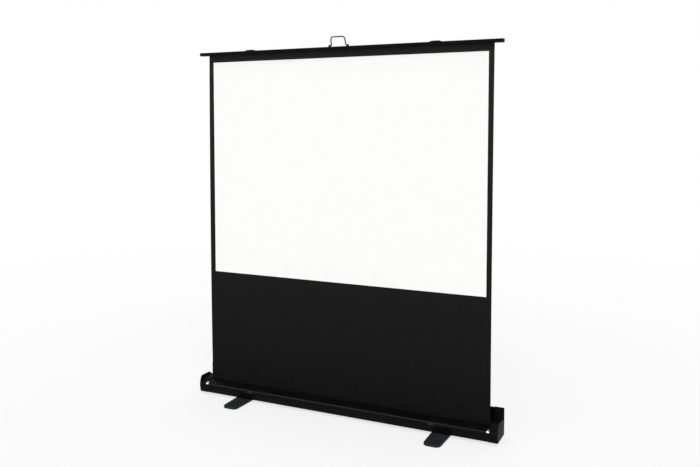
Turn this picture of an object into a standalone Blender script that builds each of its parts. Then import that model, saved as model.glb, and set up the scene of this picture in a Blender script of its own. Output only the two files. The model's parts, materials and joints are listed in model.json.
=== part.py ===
# Projector screen that pulls up out of a floor case on a scissor lift, shown raised.
# Metres, +Z up, front towards -Y, origin on the floor under the middle of the case.

import math

import bmesh
import bpy
from mathutils import Vector

# Viewing area and fabric
viewWidth = 1.6256
viewHeight = 1.2192
viewBottomHeight = 0.730
sideBorder = 0.0287
topBorder = 0.038
fabricThickness = 0.0004
coatThickness = 0.0002
fabricY = -0.0075

# Clearances and shared detail
fitGap = 0.0003
pinClearance = 0.0001
cutOverrun = 0.005
cornerSteps = 4
roundSides = 24
tubeSides = 32
rodSides = 12
sharpAngle = math.radians(35)
mergeDistance = 0.00001

# Floor case: a front lobe round the roller, a notch over the lift's bay and a tall rear wall.
# At each end a thin plate stands above the cap's hood, and the closed bar lies between the plates.
caseDepth = 0.137
fabricEndGap = 0.0035
hoodHeight = 0.076
lobeRearY = 0.0365
notchFloorHeight = 0.055
notchSlant = 0.004
earThickness = 0.0085
rearWallHeight = 0.140
heelRadius = 0.0062
shellWall = 0.0018
capLength = 0.049
capWall = 0.002
capEndWall = 0.004
capEdgeRadius = 0.0026
capCornerRadius = 0.003
hoodShares = ((-0.89, 0.0), (-1.0, 0.50), (-0.935, 0.705), (-0.18, 0.975))
hoodRadii = (0.004, 0.030, 0.004, 0.020)
plateHeight = 0.0925
plateRearY = 0.027
plateThickness = 0.0032
plateShoulderHeight = 0.068
plateShares = ((-0.89, 0.0), (-1.0, 0.42), (-0.94, 0.70), (-0.82, 0.92), (-0.66, 1.0))
plateRadii = (0.004, 0.030, 0.020, 0.008, 0.020)

# Roller housing between the caps
bulgeHeight = 0.036
toeInset = 0.007
breakInset = 0.0045
breakHeight = 0.052
frontLipHeight = 0.071
rearLipHeight = 0.0725
slotWidth = 0.010
lipDrop = 0.006
lipRadius = 0.001
edgeRadius = 0.0025
bulgeRadius = 0.025

# Lift tray behind the housing
trayFlangeHeight = 0.030
trayLipDepth = 0.003

# Roller and its mounting
rollerHeight = 0.036
tubeRadius = 0.016
tubeWall = 0.0015
wrapRadius = 0.0175
tubeOverhang = 0.002
plugFlange = 0.002
plugTenon = 0.012
bracketPlate = 0.002
bracketGap = 0.002
bracketHalfWidth = 0.020
bracketHeadRadius = 0.014
bracketFootLength = 0.014
idlerRadius = 0.003
idlerHeadRadius = 0.006
idlerHead = 0.003
shaftRadius = 0.005
shaftLength = 0.560
collarRadius = 0.011
collarLength = 0.004
springRadius = 0.0085
springWire = 0.001
springTurns = 20
springPointsPerTurn = 8

# Scissor lift: two pairs of flat arms, fixed ends on the right and rolling ends on the left
liftFixedX = 0.300
liftSpread = 0.520
armWidth = 0.022
armThickness = 0.005
armGap = 0.003
pinRadius = 0.004
pinHeadRadius = 0.008
pinHead = 0.0015
slideRollerRadius = 0.0115
railSideGap = 0.0019
railWall = 0.0016
railWallHeight = 0.026
railEndMargin = 0.030
closedBarGap = 0.0006

# Top bar that carries the fabric
barDepth = 0.030
barHeight = 0.018
barRearOffset = 0.003
barWall = 0.0015
barOverhang = 0.0485
barCapLength = 0.008
barCapTenon = 0.006
barCapBevel = 0.0015
barCornerRadius = 0.003
barSlotWidth = 0.0035
rodRadius = 0.0025
rodInset = 0.002
bracketLegWall = 0.0025
bracketLegWidth = 0.040
barBracketShares = (-0.45, 0.225)

# Carrying handle on the bar
handleBottomSpan = 0.087
handleTopSpan = 0.080
handleWire = 0.006
handleHeight = 0.0548
handleLean = math.radians(17)
handleCornerRadius = 0.014
handleElbowRadius = 0.005
handleStub = 0.014
clipWall = 0.0025
clipLength = 0.008
clipBase = 0.0015

# Latches that fold forward over the closed bar and hook under keepers on the case
latchEndInset = 0.344
latchWidth = 0.040
latchSheet = 0.0016
latchBarrelRadius = 0.0026
latchPinRadius = 0.0008
latchAxisAhead = 0.0005
latchAxisRise = 0.0028
latchEarWidth = 0.003
latchEarBack = 0.008
latchLip = 0.005
latchCurl = math.radians(250)
latchCurlSteps = 12
keeperHeight = 0.0415
keeperTall = 0.004
keeperProud = 0.004
keeperWidth = 0.026
keeperGap = 0.001

# Feet that turn under the case
footEndInset = 0.299
footLength = 0.415
footWidth = 0.100
footTipWidth = 0.088
footThickness = 0.0117
footTipRadius = 0.026
footBevel = 0.002
padThickness = 0.0017
padLength = 0.024
padWidth = 0.058
padInset = 0.014
boltRadius = 0.005
boltHeadRadius = 0.009
boltHead = 0.003
boltHeadInset = 0.0015
boltNut = 0.005

# Levels and planes that follow from the sizes above
fabricHalfWidth = viewWidth / 2 + sideBorder
halfCase = fabricHalfWidth + fabricEndGap + capLength
halfDepth = caseDepth / 2
footX = halfCase - footEndInset
footBottomZ = padThickness + fitGap
caseBottomZ = footBottomZ + footThickness + fitGap
housingRearY = lobeRearY - capWall
housingFrontY = capWall + fitGap - halfDepth
housingHalfLength = halfCase - capEndWall - fitGap
trayFrontY = housingRearY + fitGap
trayRearY = halfDepth - capWall - fitGap
earInnerY = halfDepth - earThickness
fabricFrontY = fabricY - fabricThickness / 2
rollerY = fabricFrontY - fitGap - wrapRadius
rollerZ = caseBottomZ + rollerHeight
barBottomZ = viewBottomHeight + viewHeight + topBorder
barTopZ = barBottomZ + barHeight
barHalfLength = fabricHalfWidth + barOverhang
barRearY = fabricY + barRearOffset
barFrontY = barRearY - barDepth
rodZ = barBottomZ + barWall + fitGap + rodRadius
bayY = (trayFrontY + shellWall + trayRearY - trayLipDepth) / 2
armOffset = (armThickness + armGap) / 2
frontLayerY = bayY - armOffset
rearLayerY = bayY + armOffset
armStack = armOffset + armThickness / 2
railHalfWidth = armStack + railSideGap
railWebTopZ = caseBottomZ + shellWall + fitGap + railWall
basePivotZ = railWebTopZ + fitGap + slideRollerRadius
topPivotZ = barBottomZ - fitGap - slideRollerRadius
stageHeight = (topPivotZ - basePivotZ) / 2
armLength = math.hypot(liftSpread, stageHeight)
openAngle = math.atan2(stageHeight, liftSpread)
closedDrop = barBottomZ - caseBottomZ - hoodHeight - closedBarGap
closedAngle = math.asin((stageHeight - closedDrop / 2) / armLength)
foldAngle = openAngle - closedAngle
farX = liftFixedX - liftSpread
middleX = liftFixedX - liftSpread / 2
railStartX = liftFixedX - armLength - railEndMargin
railEndX = liftFixedX + railEndMargin
boreRadius = (pinRadius + pinClearance) / math.cos(math.pi / roundSides)
latchX = barHalfLength - latchEndInset
latchAxisY = barFrontY - latchAxisAhead
latchAxisZ = barTopZ + latchAxisRise
keeperZ = caseBottomZ + keeperHeight


def makeMaterial(name, colour, roughness, metallic):
    material = bpy.data.materials.new(name)
    material.use_nodes = True
    shader = material.node_tree.nodes["Principled BSDF"]
    shader.inputs["Base Color"].default_value = (*colour, 1.0)
    shader.inputs["Roughness"].default_value = roughness
    shader.inputs["Metallic"].default_value = metallic
    material.diffuse_color = (*colour, 1.0)
    return material


def addPiece(name, data, material, location=(0, 0, 0), rotation=(0, 0, 0), pivot=None):
    piece = bpy.data.objects.new(name, data)
    data.materials.append(material)
    partCollection.objects.link(piece)
    piece.location = location
    piece.rotation_euler = rotation
    if pivot:
        piece.parent = pivot
        piece.location = Vector(location) - pivot.location
    return piece


def addPivot(name, location):
    pivot = bpy.data.objects.new(name, None)
    pivot.empty_display_size = armWidth
    pivot.location = location
    partCollection.objects.link(pivot)
    return pivot


# Rounds the corners of an outline or a path with arcs
def fillet(points, radii, closed=True):
    count = len(points)
    corners = [Vector(point) for point in points]
    rounded = []
    for index, corner in enumerate(corners):
        isEnd = not closed and index in (0, count - 1)
        radius = radii[index]
        if isEnd or radius == 0:
            rounded.append(tuple(corner))
            continue
        before = corners[index - 1] - corner
        after = corners[(index + 1) % count] - corner
        halfTurn = before.angle(after) / 2
        reach = min(radius / math.tan(halfTurn), before.length / 2.1, after.length / 2.1)
        radius = reach * math.tan(halfTurn)
        start = corner + before.normalized() * reach
        bisector = (before.normalized() + after.normalized()).normalized()
        centre = corner + bisector * radius / math.sin(halfTurn)
        spoke = start - centre
        sweep = math.pi - 2 * halfTurn
        if before.cross(after) < 0:
            sweep = -sweep
        for step in range(cornerSteps + 1):
            turn = -sweep * step / cornerSteps
            turned = Vector((spoke.x * math.cos(turn) - spoke.y * math.sin(turn),
                             spoke.x * math.sin(turn) + spoke.y * math.cos(turn)))
            rounded.append(tuple(centre + turned))
    return rounded


# Moves a closed outline outwards by one distance, for a pocket that fits round it
def offsetLoop(points, distance):
    count = len(points)
    moved = []
    for index in range(count):
        corner = Vector(points[index])
        along = (corner - Vector(points[index - 1])).normalized()
        onward = (Vector(points[(index + 1) % count]) - corner).normalized()
        first = Vector((-along.y, along.x))
        second = Vector((-onward.y, onward.x))
        moved.append(tuple(corner + (first + second) * distance / (1 + first.dot(second))))
    return moved


# A solid with one outline in Y and Z, from startX to endX
def prism(outline, startX, endX):
    form = bmesh.new()
    corners = [form.verts.new((startX, y, z)) for y, z in outline]
    face = form.faces.new(corners)
    grown = bmesh.ops.extrude_face_region(form, geom=[face])["geom"]
    tops = [item for item in grown if isinstance(item, bmesh.types.BMVert)]
    bmesh.ops.translate(form, verts=tops, vec=(endX - startX, 0, 0))
    bmesh.ops.recalc_face_normals(form, faces=form.faces)
    return form


def toMesh(name, form):
    mesh = bpy.data.meshes.new(name)
    form.to_mesh(mesh)
    form.free()
    mesh.shade_smooth()
    mesh.set_sharp_from_angle(angle=sharpAngle)
    return mesh


def boxMesh(name, size, bevel=0):
    form = bmesh.new()
    bmesh.ops.create_cube(form, size=1)
    bmesh.ops.scale(form, vec=size, verts=form.verts)
    if bevel:
        bmesh.ops.bevel(form, geom=form.edges[:], offset=bevel, segments=2, profile=0.5, affect="EDGES")
    return toMesh(name, form)


# A folded or extruded sheet: an open path in Y and Z, drawn along X and given its wall.
# The path runs up the front, back over the top and down the rear, so its normals face out.
def addSheet(name, path, startX, endX, wall, material, side=-1, pivot=None):
    form = bmesh.new()
    corners = [form.verts.new((startX, y, z)) for y, z in path]
    rims = [form.edges.new(pair) for pair in zip(corners, corners[1:])]
    grown = bmesh.ops.extrude_edge_only(form, edges=rims)["geom"]
    moved = [item for item in grown if isinstance(item, bmesh.types.BMVert)]
    bmesh.ops.translate(form, verts=moved, vec=(endX - startX, 0, 0))
    form.normal_update()
    run = Vector((0, *path[1])) - Vector((0, *path[0]))
    if rims[0].link_faces[0].normal.dot(Vector((1, 0, 0)).cross(run)) < 0:
        bmesh.ops.reverse_faces(form, faces=form.faces)
    origin = pivot.location if pivot else Vector()
    bmesh.ops.translate(form, verts=form.verts, vec=-origin)
    piece = addPiece(name, toMesh(name, form), material, origin, pivot=pivot)
    solidify = piece.modifiers.new("Wall", "SOLIDIFY")
    solidify.thickness = wall
    solidify.offset = side
    solidify.use_even_offset = True
    return piece


# A turned piece: the profile holds radius and height pairs, top to bottom down its outer side
def addTurned(name, profile, material, location, rotation, pivot=None, closed=False, sides=roundSides):
    form = bmesh.new()
    corners = [form.verts.new((radius, 0, height)) for radius, height in profile]
    pairs = list(zip(corners, corners[1:]))
    if closed:
        pairs.append((corners[-1], corners[0]))
    for pair in pairs:
        form.edges.new(pair)
    piece = addPiece(name, toMesh(name, form), material, location, rotation, pivot)
    screw = piece.modifiers.new("Turn", "SCREW")
    screw.steps = sides
    screw.render_steps = sides
    screw.use_merge_vertices = True
    screw.merge_threshold = mergeDistance
    return piece


def ringProfile(inner, outer, length):
    return ((outer, length / 2), (outer, -length / 2), (inner, -length / 2), (inner, length / 2))


def circle(radius, centre=(0, 0), sides=roundSides):
    turns = [2 * math.pi * side / sides for side in range(sides)]
    return [(centre[0] + radius * math.cos(turn), centre[1] + radius * math.sin(turn)) for turn in turns]


# A flat plate from closed outlines in its own plane: the first is its edge, the rest are holes
def addPlate(name, loops, thickness, material, location, rotation, pivot=None):
    curve = bpy.data.curves.new(name, "CURVE")
    curve.dimensions = "2D"
    curve.fill_mode = "BOTH"
    curve.extrude = thickness / 2
    for loop in loops:
        spline = curve.splines.new("POLY")
        spline.points.add(len(loop) - 1)
        for point, (x, y) in zip(spline.points, loop):
            point.co = (x, y, 0, 1)
        spline.use_cyclic_u = True
    return addPiece(name, curve, material, location, rotation, pivot)


def addWire(name, route, radius, material, location=(0, 0, 0), rotation=(0, 0, 0), pivot=None, detail=2):
    curve = bpy.data.curves.new(name, "CURVE")
    curve.dimensions = "3D"
    curve.bevel_depth = radius
    curve.bevel_resolution = detail
    curve.use_fill_caps = True
    spline = curve.splines.new("POLY")
    spline.points.add(len(route) - 1)
    for point, place in zip(spline.points, route):
        point.co = (*place, 1)
    return addPiece(name, curve, material, location, rotation, pivot)


def addCutter(name, mesh, location=(0, 0, 0), rotation=(0, 0, 0)):
    cutter = bpy.data.objects.new(name, mesh)
    cutterCollection.objects.link(cutter)
    cutter.location = location
    cutter.rotation_euler = rotation
    cutter.hide_render = True
    cutter.display_type = "WIRE"
    return cutter


def combine(piece, tool, operation="DIFFERENCE"):
    modifier = piece.modifiers.new(tool.name, "BOOLEAN")
    modifier.operation = operation
    modifier.solver = "EXACT"
    modifier.object = tool


def cylinderMesh(name, radius, length, sides=roundSides):
    form = bmesh.new()
    bmesh.ops.create_cone(form, cap_ends=True, segments=sides, radius1=radius, radius2=radius, depth=length)
    return toMesh(name, form)


alongX = (0, math.pi / 2, 0)
alongY = (-math.pi / 2, 0, 0)


# Roller housing: one C-shaped extrusion, open at the slot that the fabric leaves by
def housingPath():
    slotFront = fabricY - slotWidth / 2
    slotRear = fabricY + slotWidth / 2
    points = (
        (slotRear, rearLipHeight - lipDrop),
        (slotRear, rearLipHeight),
        (housingRearY, hoodHeight - capWall),
        (housingRearY, 0),
        (housingFrontY + toeInset, 0),
        (housingFrontY, bulgeHeight),
        (housingFrontY + breakInset, breakHeight),
        (slotFront, frontLipHeight),
        (slotFront, frontLipHeight - lipDrop),
    )
    radii = (0, lipRadius, edgeRadius, edgeRadius, edgeRadius, bulgeRadius, edgeRadius, lipRadius, 0)
    return [(y, z + caseBottomZ) for y, z in fillet(points, radii, closed=False)]


def addRollerHousing():
    housing = addSheet("roller_housing", housingPath(), -housingHalfLength, housingHalfLength,
                       shellWall, caseMetal)
    for side, word in ((-1, "left"), (1, "right")):
        hole = cylinderMesh("foot_hole_" + word, boltRadius + fitGap, cutOverrun)
        combine(housing, addCutter("foot_hole_" + word, hole, (side * footX, 0, caseBottomZ)))


def addLiftTray():
    points = (
        (trayRearY - trayLipDepth, rearWallHeight - capWall),
        (trayRearY, rearWallHeight - capWall),
        (trayRearY, 0),
        (trayFrontY, 0),
        (trayFrontY, trayFlangeHeight),
    )
    radii = (0, lipRadius, heelRadius, edgeRadius, 0)
    path = [(y, z + caseBottomZ) for y, z in fillet(points, radii, closed=False)]
    addSheet("lift_tray", path, -housingHalfLength, housingHalfLength, shellWall, caseMetal)


# End caps: a moulded hood over both extrusions, closed by the end plate
def capOutline(shares, radii, height, rearTop):
    front = [(depth * halfDepth, level * height) for depth, level in shares]
    rear = [
        *rearTop,
        (earInnerY, rearWallHeight),
        (halfDepth, rearWallHeight),
        (halfDepth, 0),
    ]
    rearRadii = [*[capCornerRadius] * (len(rear) - 1), heelRadius + capWall]
    return [(y, z + caseBottomZ) for y, z in fillet(front + rear, [*radii, *rearRadii])]


def boxOutline(startY, endY, startZ, endZ):
    return [(startY, startZ), (startY, endZ), (endY, endZ), (endY, startZ)]


# The tray's bay as a pocket: open below, with the tray's round heel
def bayOutline():
    startY = housingRearY - shellWall
    endY = trayRearY + fitGap
    floorZ = caseBottomZ - fitGap
    bottomZ = caseBottomZ - cutOverrun
    ceilingZ = caseBottomZ + notchFloorHeight - capWall
    heelY = endY - heelRadius - 2 * fitGap
    points = ((startY, bottomZ), (startY, ceilingZ), (endY, ceilingZ), (endY, floorZ),
              (heelY, floorZ), (heelY, bottomZ))
    return fillet(points, (0, 0, 0, heelRadius, 0, 0))


def addEndCap(side, word):
    innerX = side * (halfCase - capLength)
    outerX = side * halfCase
    plateX = outerX - side * plateThickness
    name = "end_cap_" + word
    plateTop = ((plateRearY, plateHeight), (earInnerY, plateShoulderHeight))
    hoodTop = ((lobeRearY, hoodHeight), (lobeRearY + notchSlant, notchFloorHeight),
               (earInnerY, notchFloorHeight))
    plate = prism(capOutline(plateShares, plateRadii, plateHeight, plateTop), plateX, outerX)
    rim = [edge for edge in plate.edges if all(abs(v.co.x - outerX) < fitGap for v in edge.verts)]
    bmesh.ops.bevel(plate, geom=rim, offset=capEdgeRadius, segments=3, profile=0.5, affect="EDGES",
                    clamp_overlap=True)
    cap = addPiece(name, toMesh(name, plate), capPlastic)
    hoodOutline = offsetLoop(capOutline(hoodShares, hoodRadii, hoodHeight, hoodTop), -fitGap)
    hood = prism(hoodOutline, innerX, plateX + side * fitGap)
    combine(cap, addCutter(name + "_hood", toMesh(name + "_hood", hood)), "UNION")
    startX = innerX - side * cutOverrun
    endX = side * (halfCase - capEndWall)
    earZ = caseBottomZ + rearWallHeight - capWall + fitGap
    lobePocket = offsetLoop(housingPath()[1:-1], fitGap)
    earPocket = boxOutline(trayRearY - trayLipDepth - fitGap, trayRearY + fitGap,
                           caseBottomZ + trayFlangeHeight, earZ)
    for place, outline in (("lobe", lobePocket), ("bay", bayOutline()), ("ear", earPocket)):
        cutName = name + "_" + place + "_pocket"
        combine(cap, addCutter(cutName, toMesh(cutName, prism(outline, startX, endX))))


# Roller: tube, the turns of fabric left on it, end plugs and the spring that winds it back
tubeHalfLength = fabricHalfWidth + tubeOverhang
plugEndX = tubeHalfLength + plugFlange
bracketX = plugEndX + bracketGap + bracketPlate / 2


def addRoller():
    pivot = addPivot("roller_pivot", (0, rollerY, rollerZ))
    centre = (0, rollerY, rollerZ)
    tubeBore = tubeRadius - tubeWall
    addTurned("roller_tube", ringProfile(tubeBore, tubeRadius, 2 * tubeHalfLength), bareMetal, centre,
              alongX, pivot, closed=True, sides=tubeSides)
    addTurned("roller_wrap", ringProfile(tubeRadius + fitGap, wrapRadius, 2 * fabricHalfWidth), fabricBlack,
              centre, alongX, pivot, closed=True, sides=tubeSides)
    for side, word, hole in ((-1, "left", idlerRadius), (1, "right", shaftRadius)):
        bore = (hole + pinClearance) / math.cos(math.pi / roundSides)
        tenon = tubeBore - fitGap
        tenonEnd = -plugTenon
        profile = ((tubeRadius, plugFlange + fitGap), (tubeRadius, fitGap), (tenon, fitGap),
                   (tenon, tenonEnd), (bore, tenonEnd), (bore, plugFlange + fitGap))
        rotation = alongX if side > 0 else (0, -math.pi / 2, 0)
        addTurned("roller_plug_" + word, profile, capPlastic, (side * tubeHalfLength, rollerY, rollerZ),
                  rotation, pivot, closed=True)
    springEnd = tubeHalfLength - plugTenon - fitGap - springWire
    springStart = bracketX - shaftLength + collarLength + fitGap + springWire
    count = springTurns * springPointsPerTurn
    route = []
    for step in range(count + 1):
        turn = 2 * math.pi * step / springPointsPerTurn
        x = springStart + (springEnd - springStart) * step / count
        route.append((x, springRadius * math.cos(turn), springRadius * math.sin(turn)))
    addWire("roller_spring", route, springWire, springSteel, centre, pivot=pivot, detail=1)


def addRollerMounting():
    floorZ = caseBottomZ + shellWall + fitGap
    for side, word, hole in ((-1, "left", idlerRadius), (1, "right", shaftRadius)):
        arc = [math.pi * step / 8 for step in range(9)]
        head = [(rollerY - bracketHeadRadius * math.cos(turn), rollerZ + bracketHeadRadius * math.sin(turn))
                for turn in arc]
        outline = [(rollerY - bracketHalfWidth, floorZ), *head, (rollerY + bracketHalfWidth, floorZ)]
        innerX = side * (bracketX - bracketPlate / 2)
        outerX = side * (bracketX + bracketPlate / 2)
        name = "roller_bracket_" + word
        bracket = addPiece(name, toMesh(name, prism(outline, innerX, outerX)), bareMetal)
        footSize = (bracketFootLength, 2 * bracketHalfWidth, bracketPlate)
        footPlace = (outerX + side * bracketFootLength / 2 - side * bracketPlate, rollerY,
                     floorZ + bracketPlate / 2)
        foot = addCutter(name + "_foot", boxMesh(name + "_foot", footSize), footPlace)
        combine(bracket, foot, "UNION")
        bore = cylinderMesh(name + "_bore", hole + fitGap, cutOverrun * 2)
        combine(bracket, addCutter(name + "_bore", bore, (side * bracketX, rollerY, rollerZ), alongX))
    outsideX = bracketX + bracketPlate / 2 + fitGap
    idlerProfile = (
        (0, plugTenon), (idlerRadius, plugTenon), (idlerRadius, tubeHalfLength - outsideX),
        (idlerHeadRadius, tubeHalfLength - outsideX), (idlerHeadRadius, tubeHalfLength - outsideX - idlerHead),
        (0, tubeHalfLength - outsideX - idlerHead),
    )
    addTurned("idler_pin", idlerProfile, bareMetal, (-tubeHalfLength, rollerY, rollerZ), alongX)
    innerEnd = bracketX - shaftLength - outsideX
    shaftProfile = (
        (0, idlerHead), (idlerHeadRadius + fitGap, idlerHead), (idlerHeadRadius + fitGap, 0),
        (shaftRadius, 0), (shaftRadius, innerEnd + collarLength), (collarRadius, innerEnd + collarLength),
        (collarRadius, innerEnd), (0, innerEnd),
    )
    addTurned("spring_shaft", shaftProfile, bareMetal, (outsideX, rollerY, rollerZ), alongX)


# Screen fabric, from the roller up through the slot into the bar, and its white coating
def addFabric():
    fabricHeight = rodZ - rollerZ
    size = (2 * fabricHalfWidth, fabricThickness, fabricHeight)
    addPiece("screen_fabric", boxMesh("screen_fabric", size), fabricBlack,
             (0, fabricY, rollerZ + fabricHeight / 2))
    coatY = fabricFrontY - fitGap - coatThickness / 2
    coatSize = (viewWidth, coatThickness, viewHeight)
    addPiece("viewing_surface", boxMesh("viewing_surface", coatSize), viewWhite,
             (0, coatY, viewBottomHeight + viewHeight / 2))


# Scissor lift. Each arm is a flat bar with round ends and three bores.
def armLoops():
    radius = armWidth / 2
    steps = roundSides // 2
    edge = []
    for step in range(steps + 1):
        turn = math.pi / 2 + math.pi * step / steps
        edge.append((radius * math.cos(turn), radius * math.sin(turn)))
    for step in range(steps + 1):
        turn = -math.pi / 2 + math.pi * step / steps
        edge.append((armLength + radius * math.cos(turn), radius * math.sin(turn)))
    places = (0, armLength / 2, armLength)
    return [edge, *[circle(boreRadius, (place, 0)) for place in places]]


def addArm(name, lowerX, lowerZ, layerY, lean, pivot):
    addPlate(name, armLoops(), armThickness, armMetal, (lowerX, layerY, lowerZ),
             (math.pi / 2, -lean, 0), pivot)


def rivetProfile(halfGrip):
    top = halfGrip + pinHead
    return ((0, top), (pinHeadRadius, top), (pinHeadRadius, halfGrip), (pinRadius, halfGrip),
            (pinRadius, -halfGrip), (pinHeadRadius, -halfGrip), (pinHeadRadius, -top), (0, -top))


def addWasher(name, x, z, pivot=None):
    profile = ringProfile(boreRadius, pinHeadRadius, armGap - 2 * fitGap)
    addTurned(name, profile, capPlastic, (x, bayY, z), alongY, pivot, closed=True)


# A roller on its pin, beside the arm that carries it: side is -1 in front of the arm and 1 behind it
def addSlideRoller(name, x, z, side, pivot):
    nearFace = armGap / 2 - fitGap
    farFace = armStack
    pinEnd = armStack + fitGap
    profile = ((0, farFace), (slideRollerRadius, farFace), (slideRollerRadius, -nearFace),
               (pinRadius, -nearFace), (pinRadius, -pinEnd), (pinHeadRadius, -pinEnd),
               (pinHeadRadius, -pinEnd - pinHead), (0, -pinEnd - pinHead))
    rotation = alongY if side > 0 else (math.pi / 2, 0, 0)
    addTurned(name, profile, capPlastic, (x, bayY, z), rotation, pivot)


def addLift():
    elbowZ = basePivotZ + stageHeight
    grip = armStack + fitGap
    frontLow = addPivot("lower_front_arm_pivot", (liftFixedX, bayY, basePivotZ))
    rearLow = addPivot("lower_rear_arm_pivot", (middleX, bayY, basePivotZ + stageHeight / 2))
    rearHigh = addPivot("upper_rear_arm_pivot", (farX, bayY, elbowZ))
    frontHigh = addPivot("upper_front_arm_pivot", (middleX, bayY, elbowZ + stageHeight / 2))
    leftLean = math.pi - openAngle
    addArm("lower_front_arm", liftFixedX, basePivotZ, frontLayerY, leftLean, frontLow)
    addArm("lower_rear_arm", farX, basePivotZ, rearLayerY, openAngle, rearLow)
    addArm("upper_rear_arm", farX, elbowZ, rearLayerY, openAngle, rearHigh)
    addArm("upper_front_arm", liftFixedX, elbowZ, frontLayerY, leftLean, frontHigh)
    crossings = (("lower_cross", middleX, basePivotZ + stageHeight / 2, rearLow),
                 ("left_elbow", farX, elbowZ, rearHigh),
                 ("right_elbow", liftFixedX, elbowZ, rearLow),
                 ("upper_cross", middleX, elbowZ + stageHeight / 2, frontHigh))
    for word, x, z, pivot in crossings:
        addTurned(word + "_pin", rivetProfile(grip), bareMetal, (x, bayY, z), alongY, pivot)
        addWasher(word + "_washer", x, z, pivot)
    addSlideRoller("lower_slide_roller", farX, basePivotZ, -1, rearLow)
    addSlideRoller("upper_slide_roller", farX, topPivotZ, 1, frontHigh)


# A U-shaped rail with the bores of one pivot pin: up is 1 on the case and -1 under the bar
def addRail(name, webZ, up, pivotZ):
    wallEnd = webZ + up * (railWall + railWallHeight)
    front = bayY - railHalfWidth - railWall
    rear = bayY + railHalfWidth + railWall
    points = ((rear, wallEnd), (rear, webZ), (front, webZ), (front, wallEnd))
    if up < 0:
        points = ((front, wallEnd), (front, webZ), (rear, webZ), (rear, wallEnd))
    path = fillet(points, (0, railWall, railWall, 0), closed=False)
    rail = addSheet(name, path, railStartX, railEndX, railWall, bareMetal)
    bore = cylinderMesh(name + "_bore", boreRadius, caseDepth)
    combine(rail, addCutter(name + "_bore", bore, (liftFixedX, bayY, pivotZ), alongY))


# The pin through both walls of a rail, and the spacer that fills the layer without an arm
def addRailPivot(word, z, spacerSide):
    grip = railHalfWidth + railWall + fitGap
    addTurned(word + "_pivot_pin", rivetProfile(grip), bareMetal, (liftFixedX, bayY, z), alongY)
    inner = -armGap / 2 + fitGap
    outer = railHalfWidth - fitGap
    length = outer - inner
    place = (liftFixedX, bayY + spacerSide * (inner + outer) / 2, z)
    addTurned(word + "_pivot_spacer", ringProfile(boreRadius, pinHeadRadius, length), capPlastic, place,
              alongY, closed=True)


def addRails():
    addRail("base_rail", railWebTopZ - railWall, 1, basePivotZ)
    addRail("carrier_rail", barBottomZ + railWall, -1, topPivotZ)
    addRailPivot("base", basePivotZ, 1)
    addRailPivot("top", topPivotZ, -1)


# Top bar: a C-shaped extrusion that opens under its rear edge, where the fabric goes in round a rod
def addTopBar():
    points = (
        (barRearY - barWall - barSlotWidth, barBottomZ),
        (barFrontY, barBottomZ),
        (barFrontY, barTopZ),
        (barRearY, barTopZ),
        (barRearY, barBottomZ),
    )
    radii = (0, barCornerRadius, barCornerRadius, barCornerRadius, 0)
    path = fillet(points, radii, closed=False)
    endX = barHalfLength - barCapLength - fitGap
    addSheet("top_bar", path, -endX, endX, barWall, caseMetal)
    rodY = fabricFrontY - fitGap - rodRadius
    rodLength = 2 * (fabricHalfWidth - rodInset)
    addPiece("fabric_rod", cylinderMesh("fabric_rod", rodRadius, rodLength, rodSides), bareMetal,
             (0, rodY, rodZ), alongX)
    for side, word in ((-1, "left"), (1, "right")):
        addBarCap(side, word)
    rearY = bayY + railHalfWidth + railWall
    seatZ = barBottomZ + railWall + fitGap
    seatY = barRearY + fitGap
    bracketPath = ((seatY, barTopZ - barWall), (seatY, seatZ), (rearY, seatZ))
    for index, share in enumerate(barBracketShares, start=1):
        x = share * barHalfLength
        addSheet("bar_bracket_" + str(index), bracketPath, x - bracketLegWidth / 2, x + bracketLegWidth / 2,
                 bracketLegWall, bareMetal, side=1)


def addBarCap(side, word):
    innerX = side * (barHalfLength - barCapLength)
    points = boxOutline(barFrontY, barRearY, barBottomZ, barTopZ)
    form = prism(fillet(points, [barCornerRadius] * len(points)), innerX, side * barHalfLength)
    outerRim = [edge for edge in form.edges
                if all(abs(v.co.x - side * barHalfLength) < fitGap for v in edge.verts)]
    bmesh.ops.bevel(form, geom=outerRim, offset=barCapBevel, segments=2, profile=0.5, affect="EDGES")
    seat = [face for face in form.faces if all(abs(v.co.x - innerX) < fitGap for v in face.verts)]
    bmesh.ops.inset_region(form, faces=seat, thickness=barWall + fitGap, use_even_offset=True)
    grown = bmesh.ops.extrude_face_region(form, geom=seat)["geom"]
    tenon = [item for item in grown if isinstance(item, bmesh.types.BMVert)]
    bmesh.ops.translate(form, verts=tenon, vec=(-side * barCapTenon, 0, 0))
    bmesh.ops.delete(form, geom=[face for face in seat if face.is_valid], context="FACES_ONLY")
    bmesh.ops.recalc_face_normals(form, faces=form.faces)
    addPiece("bar_cap_" + word, toMesh("bar_cap_" + word, form), capPlastic)


# Handle: one bent wire whose outturned ends turn in two clips on the bar
handleAxisY = barFrontY + barDepth / 2
handleAxisZ = barTopZ + fitGap + clipBase + handleWire / 2 + fitGap


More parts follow.
